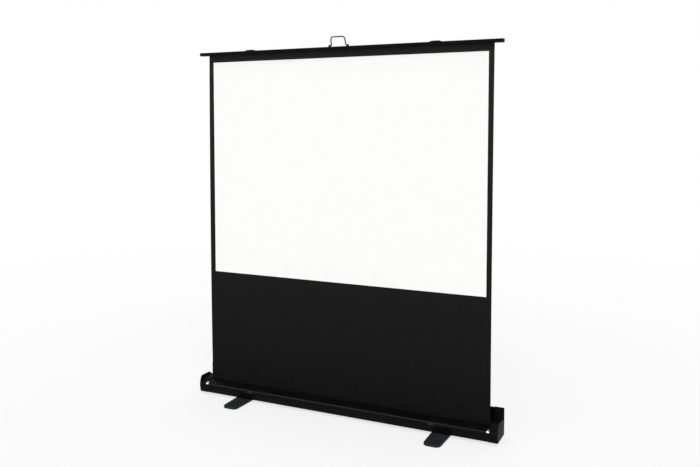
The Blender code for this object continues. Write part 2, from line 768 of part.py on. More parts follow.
def addHandle():
    pivot = addPivot("handle_pivot", (0, handleAxisY, handleAxisZ))
    rise = (barTopZ + handleHeight - handleAxisZ - handleWire / 2) / math.cos(handleLean)
    halfBottom = handleBottomSpan / 2
    halfTop = handleTopSpan / 2
    corners = (
        (-halfBottom - handleStub, 0), (-halfBottom, 0), (-halfTop, rise),
        (halfTop, rise), (halfBottom, 0), (halfBottom + handleStub, 0),
    )
    radii = (0, handleElbowRadius, handleCornerRadius, handleCornerRadius, handleElbowRadius, 0)
    route = [(x, 0, z) for x, z in fillet(corners, radii, closed=False)]
    addWire("handle_bail", route, handleWire / 2, handleSteel, (0, handleAxisY, handleAxisZ),
            (handleLean, 0, 0), pivot, detail=3)
    hole = handleWire / 2 + fitGap
    reach = hole + clipWall
    for side, word in ((-1, "left"), (1, "right")):
        arc = [math.pi * step / 10 for step in range(11)]
        top = [(reach * math.cos(turn), reach * math.sin(turn)) for turn in arc]
        drop = barTopZ + fitGap - handleAxisZ
        edge = [*top, (-reach - clipWall, drop), (reach + clipWall, drop)]
        x = side * (handleBottomSpan / 2 + handleStub - clipLength / 2)
        addPlate("handle_clip_" + word, [edge, circle(hole)], clipLength, capPlastic,
                 (x, handleAxisY, handleAxisZ), (math.pi / 2, 0, math.pi / 2))


# Keepers on the case front. Hooked, the latch's inner face passes the gap in front of a keeper's top edge.
def frontYAt(height):
    share = (height - bulgeHeight) / (breakHeight - bulgeHeight)
    return housingFrontY + breakInset * share


keeperFrontY = frontYAt(keeperHeight) - keeperProud
keeperTopZ = keeperZ + keeperTall / 2
closedAxisZ = latchAxisZ - closedDrop
latchReach = math.hypot(keeperFrontY - keeperGap - latchAxisY, closedAxisZ - keeperTopZ)
latchInnerFace = latchBarrelRadius - latchSheet
latchSwing = (math.pi + math.atan2(closedAxisZ - keeperTopZ, latchAxisY - keeperFrontY + keeperGap)
              + math.asin(latchInnerFace / latchReach))
latchLength = math.sqrt(latchReach ** 2 - latchInnerFace ** 2) + keeperTall + keeperGap + latchSheet


def addLatch(side, word):
    x = side * latchX
    pivot = addPivot("latch_pivot_" + word, (x, latchAxisY, latchAxisZ))
    path = []
    for step in range(latchCurlSteps + 1):
        turn = math.pi * 1.5 - latchCurl * (1 - step / latchCurlSteps)
        path.append((latchAxisY + latchBarrelRadius * math.cos(turn),
                     latchAxisZ + latchBarrelRadius * math.sin(turn)))
    seatZ = latchAxisZ - latchBarrelRadius
    endY = latchAxisY + latchLength
    lip = fillet(((latchAxisY, seatZ), (endY, seatZ), (endY, seatZ + latchLip + latchSheet)),
                 (0, latchSheet, 0), closed=False)
    path = list(reversed(path + lip[1:]))
    halfWidth = latchWidth / 2
    addSheet("latch_leaf_" + word, path, x - halfWidth, x + halfWidth, latchSheet, caseMetal, pivot=pivot)
    pinLength = latchWidth + 2 * (fitGap + latchEarWidth)
    name = "latch_hinge_" + word
    hinge = addPiece(name, cylinderMesh(name, latchPinRadius, pinLength, rodSides), caseMetal,
                     (x, latchAxisY, latchAxisZ), alongX)
    bottomZ = barTopZ + fitGap
    earStart = latchAxisY - latchBarrelRadius
    earEnd = latchAxisY + latchEarBack
    ear = fillet(boxOutline(earStart, earEnd, bottomZ, latchAxisZ + latchBarrelRadius),
                 (0, latchBarrelRadius, latchBarrelRadius, 0))
    for index, earSide in enumerate((-1, 1), start=1):
        innerX = x + earSide * (halfWidth + fitGap)
        earName = name + "_ear_" + str(index)
        earMesh = toMesh(earName, prism(ear, innerX, innerX + earSide * latchEarWidth))
        combine(hinge, addCutter(earName, earMesh), "UNION")


def addKeeper(side, word):
    backY = frontYAt(keeperHeight - keeperTall / 2) - fitGap
    size = (keeperWidth, backY - keeperFrontY, keeperTall)
    place = (side * latchX, (backY + keeperFrontY) / 2, keeperZ)
    addPiece("latch_keeper_" + word, boxMesh("latch_keeper_" + word, size, fitGap), bareMetal, place)


# Feet: flat moulded bars with round tips, on a bolt under the case
def footOutline():
    halfLength = footLength / 2
    points = ((-footTipWidth / 2, -halfLength), (footTipWidth / 2, -halfLength), (footWidth / 2, 0),
              (footTipWidth / 2, halfLength), (-footTipWidth / 2, halfLength), (-footWidth / 2, 0))
    radii = (footTipRadius, footTipRadius, footTipRadius, footTipRadius, footTipRadius, footTipRadius)
    return fillet(points, radii)


def addFoot(side, word):
    x = side * footX
    pivot = addPivot("foot_pivot_" + word, (x, 0, footBottomZ))
    form = bmesh.new()
    bottom = form.faces.new([form.verts.new((px, py, 0)) for px, py in footOutline()])
    grown = bmesh.ops.extrude_face_region(form, geom=[bottom])["geom"]
    top = [item for item in grown if isinstance(item, bmesh.types.BMVert)]
    bmesh.ops.translate(form, verts=top, vec=(0, 0, footThickness))
    upper = [edge for edge in form.edges if all(v.co.z > footThickness / 2 for v in edge.verts)]
    bmesh.ops.bevel(form, geom=upper, offset=footBevel, segments=2, profile=0.5, affect="EDGES")
    bmesh.ops.recalc_face_normals(form, faces=form.faces)
    name = "foot_" + word
    foot = addPiece(name, toMesh(name, form), footPlastic, (x, 0, footBottomZ), pivot=pivot)
    shaft = cylinderMesh(name + "_bore", boltRadius + fitGap, 4 * footThickness)
    combine(foot, addCutter(name + "_bore", shaft, (x, 0, footBottomZ)))
    recess = cylinderMesh(name + "_recess", boltHeadRadius + fitGap, 2 * (boltHeadInset + boltHead + fitGap))
    combine(foot, addCutter(name + "_recess", recess, (x, 0, footBottomZ)))
    padSize = (padWidth, padLength, padThickness)
    padY = footLength / 2 - padInset - padLength / 2
    for end, endWord in ((-1, "front"), (1, "rear")):
        padName = "foot_pad_" + word + "_" + endWord
        addPiece(padName, boxMesh(padName, padSize), padRubber, (x, end * padY, padThickness / 2),
                 pivot=pivot)
    headZ = footBottomZ + boltHeadInset
    nutZ = caseBottomZ + shellWall + fitGap
    profile = ((0, nutZ + boltNut), (boltHeadRadius, nutZ + boltNut), (boltHeadRadius, nutZ),
               (boltRadius, nutZ), (boltRadius, headZ + boltHead), (boltHeadRadius, headZ + boltHead),
               (boltHeadRadius, headZ), (0, headZ))
    addTurned("foot_bolt_" + word, profile, bareMetal, (x, 0, 0), (0, 0, 0))


def buildScreen():
    addRollerHousing()
    addLiftTray()
    addRoller()
    addRollerMounting()
    addFabric()
    addLift()
    addRails()
    addTopBar()
    addHandle()
    for side, word in ((-1, "left"), (1, "right")):
        addEndCap(side, word)
        addLatch(side, word)
        addKeeper(side, word)
        addFoot(side, word)


for leftover in list(bpy.data.objects):
    bpy.data.objects.remove(leftover)

partCollection = bpy.data.collections.new("projector_screen")
cutterCollection = bpy.data.collections.new("cutters")
bpy.context.scene.collection.children.link(partCollection)
bpy.context.scene.collection.children.link(cutterCollection)

caseMetal = makeMaterial("black powder coated aluminium", (0.012, 0.012, 0.013), 0.42, 0.0)
capPlastic = makeMaterial("black moulded plastic", (0.014, 0.014, 0.015), 0.50, 0.0)
footPlastic = makeMaterial("charcoal moulded plastic", (0.030, 0.032, 0.036), 0.55, 0.0)
bareMetal = makeMaterial("bright zinc plated steel", (0.58, 0.58, 0.57), 0.35, 1.0)
armMetal = makeMaterial("mill finish aluminium", (0.66, 0.67, 0.68), 0.40, 1.0)
springSteel = makeMaterial("oiled spring steel", (0.18, 0.18, 0.19), 0.35, 1.0)
handleSteel = makeMaterial("dark plated steel wire", (0.055, 0.055, 0.058), 0.35, 1.0)
fabricBlack = makeMaterial("black backed screen fabric", (0.008, 0.008, 0.008), 0.80, 0.0)
viewWhite = makeMaterial("matte white viewing coat", (0.86, 0.86, 0.86), 0.85, 0.0)
padRubber = makeMaterial("black rubber pad", (0.012, 0.012, 0.012), 0.90, 0.0)

buildScreen()
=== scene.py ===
import json
import math

import bmesh
import bpy
from mathutils import Matrix, Vector


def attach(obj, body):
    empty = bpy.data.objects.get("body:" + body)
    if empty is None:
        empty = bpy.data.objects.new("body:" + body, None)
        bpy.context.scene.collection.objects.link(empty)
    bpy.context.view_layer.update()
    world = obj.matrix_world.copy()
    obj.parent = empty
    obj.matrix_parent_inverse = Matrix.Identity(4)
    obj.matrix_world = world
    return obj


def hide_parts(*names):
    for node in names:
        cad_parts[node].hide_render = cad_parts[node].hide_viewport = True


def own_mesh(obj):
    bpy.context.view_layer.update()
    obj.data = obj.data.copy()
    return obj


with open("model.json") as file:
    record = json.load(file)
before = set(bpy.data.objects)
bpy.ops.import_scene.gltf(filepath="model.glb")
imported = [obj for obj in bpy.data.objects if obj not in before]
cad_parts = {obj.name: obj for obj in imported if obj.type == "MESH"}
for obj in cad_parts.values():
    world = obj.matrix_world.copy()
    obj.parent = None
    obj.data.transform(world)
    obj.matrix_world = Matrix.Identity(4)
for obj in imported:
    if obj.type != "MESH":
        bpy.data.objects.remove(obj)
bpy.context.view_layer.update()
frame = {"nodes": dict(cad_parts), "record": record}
mm = 0.001     # lengths in the dictionaries are in mm, except the camera's and the studio's
tiny = 1e-6    # metres: corners closer than this are one
sides = ((-1, "Left", "left"), (1, "Right", "right"))
outwards = {-1: "-x", 1: "x"}

# Camera of the photograph, to the right of the screen and turned back towards its middle. The photograph
# is cropped so that the horizon lies above its middle: part of that is drawn as a slight downward pitch.
camera = {
    "place": (1.7978, -3.6979, 1.5795),
    "yaw": 25.2,          # degrees to the left of straight on
    "pitch": 3.5,         # degrees downwards
    "lens": 39.19,        # mm
    "sensor": 36,         # mm across
    "shift": -0.0861,
}


def addCamera():
    data = bpy.data.cameras.new("photoCamera")
    data.lens = camera["lens"]
    data.sensor_width = camera["sensor"]
    data.shift_y = camera["shift"]
    eye = bpy.data.objects.new("photoCamera", data)
    eye.location = camera["place"]
    eye.rotation_euler = (math.radians(90 - camera["pitch"]), 0, math.radians(camera["yaw"]))
    bpy.context.scene.collection.objects.link(eye)
    bpy.context.scene.camera = eye


# Materials

def toLinear(hexColour):
    channels = [int(hexColour[start:start + 2], 16) / 255 for start in (1, 3, 5)]
    return (*[c / 12.92 if c <= 0.04045 else ((c + 0.055) / 1.055) ** 2.4 for c in channels], 1)


# Adds one node with its settings, its fixed inputs and the outputs that feed it
def addNode(tree, kind, settings=None, values=None, links=None):
    node = tree.nodes.new("ShaderNode" + kind)
    for name, value in (settings or {}).items():
        setattr(node, name, value)
    for name, value in (values or {}).items():
        node.inputs[name].default_value = value
    for name, source in (links or {}).items():
        tree.links.new(source, node.inputs[name])
    return node


def startMaterial(name, metal, specular):
    material = bpy.data.materials.new(name)
    material.use_nodes = True
    shader = material.node_tree.nodes["Principled BSDF"]
    shader.inputs["Metallic"].default_value = metal
    shader.inputs["Specular IOR Level"].default_value = specular
    return material, material.node_tree, shader


# A rigid surface: broad mottling, a fine grain that may be drawn out along one direction, worn edges
def makeFinish(name, look):
    material, tree, shader = startMaterial(name, look["metal"], look["specular"])
    place = addNode(tree, "TexCoord").outputs["Object"]
    turned = addNode(tree, "Mapping", values={"Rotation": (0, math.radians(look.get("turn", 0)), 0),
                                              "Scale": look.get("stretch", (1, 1, 1))},
                     links={"Vector": place}).outputs["Vector"]
    grain = addNode(tree, "TexNoise", values={"Scale": 1 / (look["grain"] * mm), "Detail": 3},
                    links={"Vector": turned}).outputs["Fac"]
    broad = addNode(tree, "TexNoise", values={"Scale": 1 / (look["mottle"] * mm), "Detail": 4},
                    links={"Vector": place}).outputs["Fac"]
    spread = addNode(tree, "MapRange", values={"From Min": 0.35, "From Max": 0.65},   # where most noise lies
                     links={"Value": broad}).outputs["Result"]
    colour = addNode(tree, "Mix", {"data_type": "RGBA"},
                     {6: toLinear(look["colour"]), 7: toLinear(look["second"])}, {0: spread}).outputs[2]
    if "speck" in look:    # the grain's peaks
        flakes = addNode(tree, "MapRange", values={"From Min": 0.45, "From Max": 0.75, "To Max": 0.6},
                         links={"Value": grain}).outputs["Result"]
        colour = addNode(tree, "Mix", {"data_type": "RGBA"}, {7: toLinear(look["speck"])},
                         {0: flakes, 6: colour}).outputs[2]
    if "wear" in look:     # where the surface turns within the width of the wear
        rounded = addNode(tree, "Bevel", {"samples": 4}, {"Radius": look["wearWidth"] * mm}).outputs["Normal"]
        normal = addNode(tree, "NewGeometry").outputs["Normal"]
        turn = addNode(tree, "VectorMath", {"operation": "DOT_PRODUCT"}, links={0: rounded, 1: normal})
        edge = addNode(tree, "MapRange", values={"From Min": 0.99, "From Max": 0.85},   # cosines of the turn
                       links={"Value": turn.outputs["Value"]}).outputs["Result"]
        patchy = addNode(tree, "Math", {"operation": "MULTIPLY"}, links={0: edge, 1: spread}).outputs[0]
        colour = addNode(tree, "Mix", {"data_type": "RGBA"}, {7: toLinear(look["wear"])},
                         {0: patchy, 6: colour}).outputs[2]
    tree.links.new(colour, shader.inputs["Base Color"])
    # The grain counts for 0.6 of the mottling, and their sum lies mostly between 0.5 and 1.1
    both = addNode(tree, "Math", {"operation": "MULTIPLY_ADD"}, {1: 0.6}, {0: grain, 2: broad}).outputs[0]
    low, high = look["rough"]
    rough = addNode(tree, "MapRange", links={"Value": both},
                    values={"From Min": 0.5, "From Max": 1.1, "To Min": low, "To Max": high})
    tree.links.new(rough.outputs["Result"], shader.inputs["Roughness"])
    bump = addNode(tree, "Bump", values={"Strength": look["relief"], "Distance": look["depth"] * mm},
                   links={"Height": grain}).outputs["Normal"]
    tree.links.new(bump, shader.inputs["Normal"])
    return material


# Cloth with a plain weave that follows its own flat pattern, in metres
def makeCloth(name, look):
    material, tree, shader = startMaterial(name, 0, look["specular"])
    flat = addNode(tree, "UVMap", {"uv_map": "cloth"}).outputs["UV"]
    waveScale = 0.314 / (look["thread"] * mm)   # a wave texture's bands are 0.314 / scale apart
    threads = []
    for direction in ("X", "Y"):
        threads.append(addNode(tree, "TexWave", {"bands_direction": direction}, {"Scale": waveScale},
                               {"Vector": flat}).outputs["Fac"])
    over = addNode(tree, "TexChecker", values={"Scale": 1 / (look["thread"] * mm)}, links={"Vector": flat})
    weave = addNode(tree, "Mix", links={0: over.outputs["Fac"], 2: threads[0], 3: threads[1]}).outputs[0]
    slub = addNode(tree, "TexNoise", values={"Scale": 1 / (look["slub"] * mm), "Detail": 4},
                   links={"Vector": flat}).outputs["Fac"]
    shade = addNode(tree, "Math", {"operation": "MULTIPLY"}, links={0: weave, 1: slub}).outputs[0]
    colour = addNode(tree, "Mix", {"data_type": "RGBA"},
                     {6: toLinear(look["colour"]), 7: toLinear(look["second"])}, {0: shade}).outputs[2]
    # Painted light: the colour turns paler towards the sheet's top, standing for the light that falls most
    # there
    if "paintedTopLight" in look:
        height = addNode(tree, "SeparateXYZ", links={"Vector": flat}).outputs["Y"]
        paintedTopLightShare = addNode(tree, "MapRange", values={"From Max": 2},   # metres, the height of the sheet's top
                        links={"Value": height}).outputs["Result"]
        colour = addNode(tree, "Mix", {"data_type": "RGBA"}, {7: toLinear(look["paintedTopLight"])},
                         {0: paintedTopLightShare, 6: colour}).outputs[2]
    tree.links.new(colour, shader.inputs["Base Color"])
    low, high = look["rough"]
    rough = addNode(tree, "MapRange", values={"To Min": low, "To Max": high}, links={"Value": slub})
    tree.links.new(rough.outputs["Result"], shader.inputs["Roughness"])
    bump = addNode(tree, "Bump", values={"Strength": look["relief"], "Distance": look["depth"] * mm},
                   links={"Height": weave}).outputs["Normal"]
    tree.links.new(bump, shader.inputs["Normal"])
    return material


# Powder coat on extruded aluminium: satin black, a fine orange peel, edges rubbed slightly grey. The peel
# has its real size, about 1.6 mm
coatedAluminium = makeFinish("powderCoatedAluminium", {
    "colour": "#070708", "second": "#0b0b0c", "speck": "#141415", "wear": "#303032", "wearWidth": 1.0,
    "metal": 0, "specular": 0.05, "rough": (0.28, 0.40), "grain": 1.6, "mottle": 90, "relief": 0.22,
    "depth": 0.2})
# Satin paint on pressed steel: a little smoother and glossier than the powder coat
paintedSteel = makeFinish("satinPaintedSteel", {
    "colour": "#0d0d0e", "second": "#111112", "wear": "#3a3a3a", "wearWidth": 0.6, "metal": 0,
    "specular": 0.22, "rough": (0.30, 0.42), "grain": 1.6, "mottle": 40, "relief": 0.08, "depth": 0.15})
# Injection moulded ABS: matt black with an eroded grain, and paler where edges were handled. The real grain
# is about 0.3 mm, and is drawn at 2 to show
mouldedPlastic = makeFinish("mouldedAbs", {
    "colour": "#08080a", "second": "#0c0c0d", "speck": "#1e1e1f", "wear": "#2e2e2f", "wearWidth": 1.0,
    "metal": 0, "specular": 0.04, "rough": (0.44, 0.58), "grain": 2.0, "mottle": 60, "relief": 0.4,
    "depth": 0.25})
# Injection moulded polypropylene, charcoal: coarser grain, faintly blue, dusty on top. The real grain is
# about 0.5 mm, and is drawn at 2.2 to show
footPlastic = makeFinish("mouldedPolypropylene", {
    "colour": "#17191c", "second": "#1f2125", "speck": "#3c3f45", "wear": "#44474c", "wearWidth": 1.2,
    "metal": 0, "specular": 0.14, "rough": (0.48, 0.66), "grain": 2.2, "mottle": 70, "relief": 0.5,
    "depth": 0.25})
# Turned nylon: dull black, slightly waxy. The real tool marks are about 0.2 mm, drawn at 0.8 to show
nylon = makeFinish("turnedNylon", {
    "colour": "#151516", "second": "#1c1c1d", "metal": 0, "specular": 0.3, "rough": (0.4, 0.5),
    "grain": 0.8, "mottle": 12, "relief": 0.1, "depth": 0.05})
# Vulcanised rubber: matt, faintly dusty. The real grit is about 0.2 mm, drawn at 1 to show
rubber = makeFinish("vulcanisedRubber", {
    "colour": "#101010", "second": "#191918", "metal": 0, "specular": 0.15, "rough": (0.75, 0.9),
    "grain": 1.0, "mottle": 15, "relief": 0.35, "depth": 0.15})
# Bright zinc plate on steel: pale, a slight spangle and soft reflections
zincSteel = makeFinish("zincPlatedSteel", {
    "colour": "#b9bab8", "second": "#a7a9a9", "metal": 1, "specular": 0.5, "rough": (0.24, 0.38),
    "grain": 1.5, "mottle": 8, "relief": 0.08, "depth": 0.08})
# Extruded aluminium, mill finish: fine die lines along the case's length. The real ones are about 0.2 mm
# apart, drawn at 0.8 to show
millAluminium = makeFinish("millFinishAluminium", {
    "colour": "#b4b6b8", "second": "#a3a6a9", "metal": 1, "specular": 0.5, "rough": (0.30, 0.46),
    "stretch": (0.02, 1, 1), "grain": 0.8, "mottle": 60, "relief": 0.18, "depth": 0.1})
# The same metal as flat bar: the lines run along each arm, so there is one for either lean
armLean = 61.877   # degrees from level
armMetals = {side: makeFinish("millFinishFlatBar" + word, {
    "colour": "#b7b9bb", "second": "#a5a8ab", "metal": 1, "specular": 0.5, "rough": (0.28, 0.44),
    "turn": side * armLean, "stretch": (0.02, 1, 1), "grain": 0.8, "mottle": 80, "relief": 0.18,
    "depth": 0.1}) for side, word, lower in sides}
# Oil tempered spring wire: dark, brownish grey, wet looking
springWire = makeFinish("oilTemperedSpringWire", {
    "colour": "#4c4a48", "second": "#3a3938", "metal": 1, "specular": 0.5, "rough": (0.25, 0.4),
    "grain": 0.8, "mottle": 10, "relief": 0.08, "depth": 0.05})
# Bent steel rod, dipped in black enamel: near black, with narrow soft highlights and a few rubbed spots
enamelledRod = makeFinish("dippedEnamelRod", {
    "colour": "#0b0b0c", "second": "#101011", "speck": "#1b1b1c", "metal": 0, "specular": 0.15,
    "rough": (0.28, 0.40), "grain": 1.4, "mottle": 20, "relief": 0.12, "depth": 0.08})
# Woven glass cloth, black PVC: dead matt, with painted light: its colour is made paler towards the top,
# standing for the light that falls most there.
# The real threads are 0.4 mm apart, drawn at 2 to show
blackCloth = makeCloth("blackPvcCloth", {
    "colour": "#0e0e0f", "second": "#1e1e1f", "paintedTopLight": "#272728", "specular": 0.03, "rough": (0.8, 0.95),
    "thread": 2, "slub": 40, "relief": 0.6, "depth": 0.3})
# The same cloth with the white viewing coat: flat white, the weave just showing through
whiteCloth = makeCloth("whiteViewingCoat", {
    "colour": "#fdfdfc", "second": "#f5f5f4", "specular": 0.2, "rough": (0.82, 0.92),
    "thread": 2, "slub": 60, "relief": 0.2, "depth": 0.12})
print("materials made")


# Shapes. A section lies in Y and Z, in mm, with the reach of each corner's rounding as a third number.

# Moves the corners that an extrusion has just made, by a distance along each axis
def moveNew(form, grown, way):
    corners = [item for item in grown["geom"] if isinstance(item, bmesh.types.BMVert)]
    bmesh.ops.translate(form, verts=corners, vec=[length * mm for length in way])


def roundEdges(form, edges, reach, steps=2, clamp=True):
    bmesh.ops.bevel(form, geom=edges, offset=reach * mm, segments=steps, profile=0.5, affect="EDGES",
                    clamp_overlap=clamp, material=-1)


# Rounds the edges whose two ends both pass a test on their place
def roundWhere(form, test, reach, steps=2):
    roundEdges(form, [edge for edge in form.edges if all(test(vert.co) for vert in edge.verts)], reach, steps)


# Such a test: on the plane square to an axis, at a place along it
def onPlane(axis, place):
    return lambda co: abs(co["xyz".index(axis)] - place * mm) < tiny


# Draws a section out along X, as a closed block or as an open sheet. The sheet faces the same side of its
# section whichever way along X it is drawn
def extrudeSection(section, startX, endX, closed=True, steps=4):
    form = bmesh.new()
    corners = [form.verts.new((startX * mm, y * mm, z * mm)) for y, z, reach in section]
    if closed:
        grown = bmesh.ops.extrude_face_region(form, geom=[form.faces.new(corners)])
    else:
        rims = [form.edges.new(pair) for pair in zip(corners, corners[1:])]
        grown = bmesh.ops.extrude_edge_only(form, edges=rims)
    moveNew(form, grown, (endX - startX, 0, 0))
    if not closed:
        form.normal_update()
        run = Vector((0, *section[1][:2])) - Vector((0, *section[0][:2]))
        if rims[0].link_faces[0].normal.dot(Vector((1, 0, 0)).cross(run)) < 0:
            bmesh.ops.reverse_faces(form, faces=form.faces)
    for y, z, reach in section:
        if reach:
            roundWhere(form, lambda co: math.hypot(co.y - y * mm, co.z - z * mm) < tiny, reach, steps)
    return form


def makeBlock(size, centre, reach, steps=2):
    form = bmesh.new()
    bmesh.ops.create_cube(form, size=1)
    bmesh.ops.scale(form, vec=[length * mm for length in size], verts=form.verts)
    roundEdges(form, form.edges[:], reach, steps)
    bmesh.ops.translate(form, verts=form.verts, vec=[place * mm for place in centre])
    return form


# Turn the Z axis towards each direction
towards = {
    "x": Matrix.Rotation(math.radians(90), 4, "Y"), "-x": Matrix.Rotation(math.radians(-90), 4, "Y"),
    "y": Matrix.Rotation(math.radians(-90), 4, "X"), "-y": Matrix.Rotation(math.radians(90), 4, "X"),
    "z": Matrix.Identity(4), "-z": Matrix.Rotation(math.radians(180), 4, "X"),
}


# Turns a profile of radius and height pairs; the heights run from a place along an axis
def makeTurned(profile, place, axis, steps=32):
    form = bmesh.new()
    corners = [form.verts.new((radius * mm, 0, height * mm)) for radius, height in profile]
    rims = [form.edges.new(pair) for pair in zip(corners, corners[1:])]
    bmesh.ops.spin(form, geom=corners + rims, cent=(0, 0, 0), axis=(0, 0, 1), angle=math.tau, steps=steps,
                   use_merge=True)
    bmesh.ops.remove_doubles(form, verts=form.verts, dist=tiny)
    bmesh.ops.transform(form, matrix=Matrix.Translation([p * mm for p in place]) @ towards[axis],
                        verts=form.verts)
    return form


# A domed screw with a socket. Its head is given in shares of its radius and height, from the middle out
screw = {
    "head": ((0, 0.35), (0.42, 0.35), (0.48, 1), (0.62, 1), (0.9, 0.6), (1, 0)),
    "neck": 0.9, "sunk": 0.4,   # share of the radius; how far it goes into the surface
}


def makeScrew(place, axis, radius, height):
    head = [(radius * out, height * up) for out, up in screw["head"]]
    neck = [(radius * screw["neck"], -screw["sunk"]), (0, -screw["sunk"])]
    return makeTurned(head + neck, place, axis, steps=20)


def joinForms(forms):
    whole = bmesh.new()
    for form in forms:
        spare = bpy.data.meshes.new("spare")
        form.to_mesh(spare)
        form.free()
        whole.from_mesh(spare)
        bpy.data.meshes.remove(spare)
    return whole


# Faces with many corners and tiny edges fill wrongly, so they are cut into triangles
def cutManySided(form, most=8):
    bmesh.ops.triangulate(form, faces=[face for face in form.faces if len(face.verts) > most])


# The flat pattern that the weave follows, in metres
def mapCloth(form):
    pattern = form.loops.layers.uv.new("cloth")
    for face in form.faces:
        for loop in face.loops:
            loop[pattern].uv = (loop.vert.co.x, loop.vert.co.z)


smoothUpTo = math.radians(32)    # sharper edges are shaded as edges
softenFrom = math.radians(50)    # sharper edges get the small bevel


# Makes a form an object that rides on its body; a wall is given to a sheet, outwards or inwards
def addPiece(name, form, finish, body, replaced=(), wall=0, side=-1, soften=0):
    if not wall:
        bmesh.ops.remove_doubles(form, verts=form.verts, dist=tiny)
        bmesh.ops.recalc_face_normals(form, faces=form.faces)
    cutManySided(form)
    mesh = bpy.data.meshes.new(name)
    form.to_mesh(mesh)
    form.free()
    mesh.shade_smooth()
    mesh.set_sharp_from_angle(angle=smoothUpTo)
    mesh.materials.append(finish)
    piece = bpy.data.objects.new(name, mesh)
    bpy.context.scene.collection.objects.link(piece)
    if wall:
        solidify = piece.modifiers.new("wall", "SOLIDIFY")
        solidify.thickness = wall * mm
        solidify.offset = side
        solidify.use_even_offset = True
    if soften:
        bevel = piece.modifiers.new("soften", "BEVEL")
        bevel.width = soften * mm
        bevel.segments = 2
        bevel.limit_method = "ANGLE"
        bevel.angle_limit = softenFrom
        bevel.harden_normals = True
    return placePiece(piece, body, replaced)


def placePiece(piece, body, replaced=()):
    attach(piece, body)
    if replaced:
        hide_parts(*replaced)
    return piece


# Floor case

case = {
    "halfLength": 889.7, "capInner": 845, "plateInner": 890.8, "plateOuter": 893.4, "overlap": 1,
    "wall": 1.8, "hoodWall": 1.7, "plateOuterEdge": 2.2, "plateInnerEdge": 0.5,
    "housing": ((-2.5, 80.5, 0), (-2.5, 86.5, 2.4), (34.5, 88, 2.2), (34.5, 14, 2.2), (-59.2, 14, 2.2),
                (-66.2, 50, 5.5), (-61.7, 66, 5.4), (-12.5, 85, 3.4), (-12.5, 79, 0)),
    "tray": ((63.2, 152, 0), (66.2, 152, 2.1), (66.2, 118, 0.6), (65.6, 116.5, 0.3), (66.2, 115, 0.6),
             (66.2, 62, 0.6), (65.6, 60.5, 0.3), (66.2, 59, 0.6), (66.2, 14, 6), (34.8, 14, 2.2),
             (34.8, 44, 0)),
    "hood": ((-60.8, 14.2, 0), (-68.2, 52, 5), (-63.8, 67.5, 5.4), (-12.4, 87.9, 2), (36.3, 89.7, 2.5),
             (40.4, 68.9, 2), (60.3, 68.7, 2), (60.3, 153.7, 2.4), (68.2, 153.7, 2.4), (68.2, 14.2, 8),
             (58, 14.2, 0)),
    "plate": ((-61, 14, 3.2), (-68.5, 52.9, 5.4), (-64.4, 78.8, 2.3), (-56.2, 99.1, 2.5),
              (-45.2, 106.5, 5.5), (27, 106.5, 2.5), (60, 82, 2.5), (60, 154, 2.5), (68.5, 154, 2.6),
              (68.5, 14, 8)),
    "plateScrews": ((-28, 40), (24, 40), (61, 58)), "screwRadius": 3.4, "screwHeight": 0.6,
    "clip": ((-66.6, 62.5, 0), (-64.9, 68.4, 3.6), (-49.5, 74.5, 0.5), (-48.9, 74.2, 0)),
    "clipStart": 836, "clipEnd": 850, "clipWall": 0.7,
}


def addCase():
    half = case["halfLength"]
    housing = extrudeSection(case["housing"], -half, half, closed=False, steps=6)
    addPiece("rollerHousing", housing, coatedAluminium, "case", ["roller_housing"],
             wall=case["wall"], soften=0.3)
    addPiece("liftTray", extrudeSection(case["tray"], -half, half, closed=False), coatedAluminium,
             "case", ["lift_tray"], wall=case["wall"], soften=0.3)
    for side, word, lower in sides:
        inner, plateInner, outer = (side * case[key] for key in ("capInner", "plateInner", "plateOuter"))
        hood = extrudeSection(case["hood"], inner, plateInner + side * case["overlap"], closed=False)
        addPiece("capHood" + word, hood, mouldedPlastic, "case", ["end_cap_" + lower],
                 wall=case["hoodWall"], soften=0.5)
        plate = extrudeSection(case["plate"], plateInner, outer)
        roundWhere(plate, onPlane("x", outer), case["plateOuterEdge"], 4)
        roundWhere(plate, onPlane("x", plateInner), case["plateInnerEdge"])
        addPiece("capPlate" + word, plate, mouldedPlastic, "case", ["end_cap_" + lower])
        screws = [makeScrew((outer, y, z), outwards[side], case["screwRadius"], case["screwHeight"])
                  for y, z in case["plateScrews"]]
        addPiece("capScrews" + word, joinForms(screws), paintedSteel, "case")
        clip = extrudeSection(case["clip"], side * case["clipStart"], side * case["clipEnd"], closed=False)
        addPiece("mouthClip" + word, clip, millAluminium, "case", wall=case["clipWall"],
                 soften=0.1)


# Roller: the turns of cloth left on it are one long spiral

wrap = {"inner": 16.3, "outer": 17.3, "turns": 3, "stepsPerTurn": 48, "halfLength": 841.5, "thickness": 0.35,
        "axis": (-25.5, 50)}


def addWrap():
    form = bmesh.new()
    count = wrap["turns"] * wrap["stepsPerTurn"]
    start = form.verts.new((0, wrap["inner"] * mm, 0))
    bmesh.ops.spin(form, geom=[start], cent=(0, 0, 0), axis=(1, 0, 0), angle=math.tau * wrap["turns"],
                   steps=count)
    form.verts.ensure_lookup_table()
    for index, vert in enumerate(form.verts):
        buildUp = (wrap["outer"] - wrap["inner"]) * mm * index / count
        vert.co += vert.co.normalized() * buildUp
    moveNew(form, bmesh.ops.extrude_edge_only(form, edges=form.edges[:]), (2 * wrap["halfLength"], 0, 0))
    y, z = wrap["axis"]
    bmesh.ops.translate(form, verts=form.verts, vec=(-wrap["halfLength"] * mm, y * mm, z * mm))
    mapCloth(form)
    piece = addPiece("rollerWrap", form, blackCloth, "roller", ["roller_wrap"],
                     wall=wrap["thickness"], side=0)


# Screen cloth: one sheet, stretched between the roller and the bar, its side edges curled forward

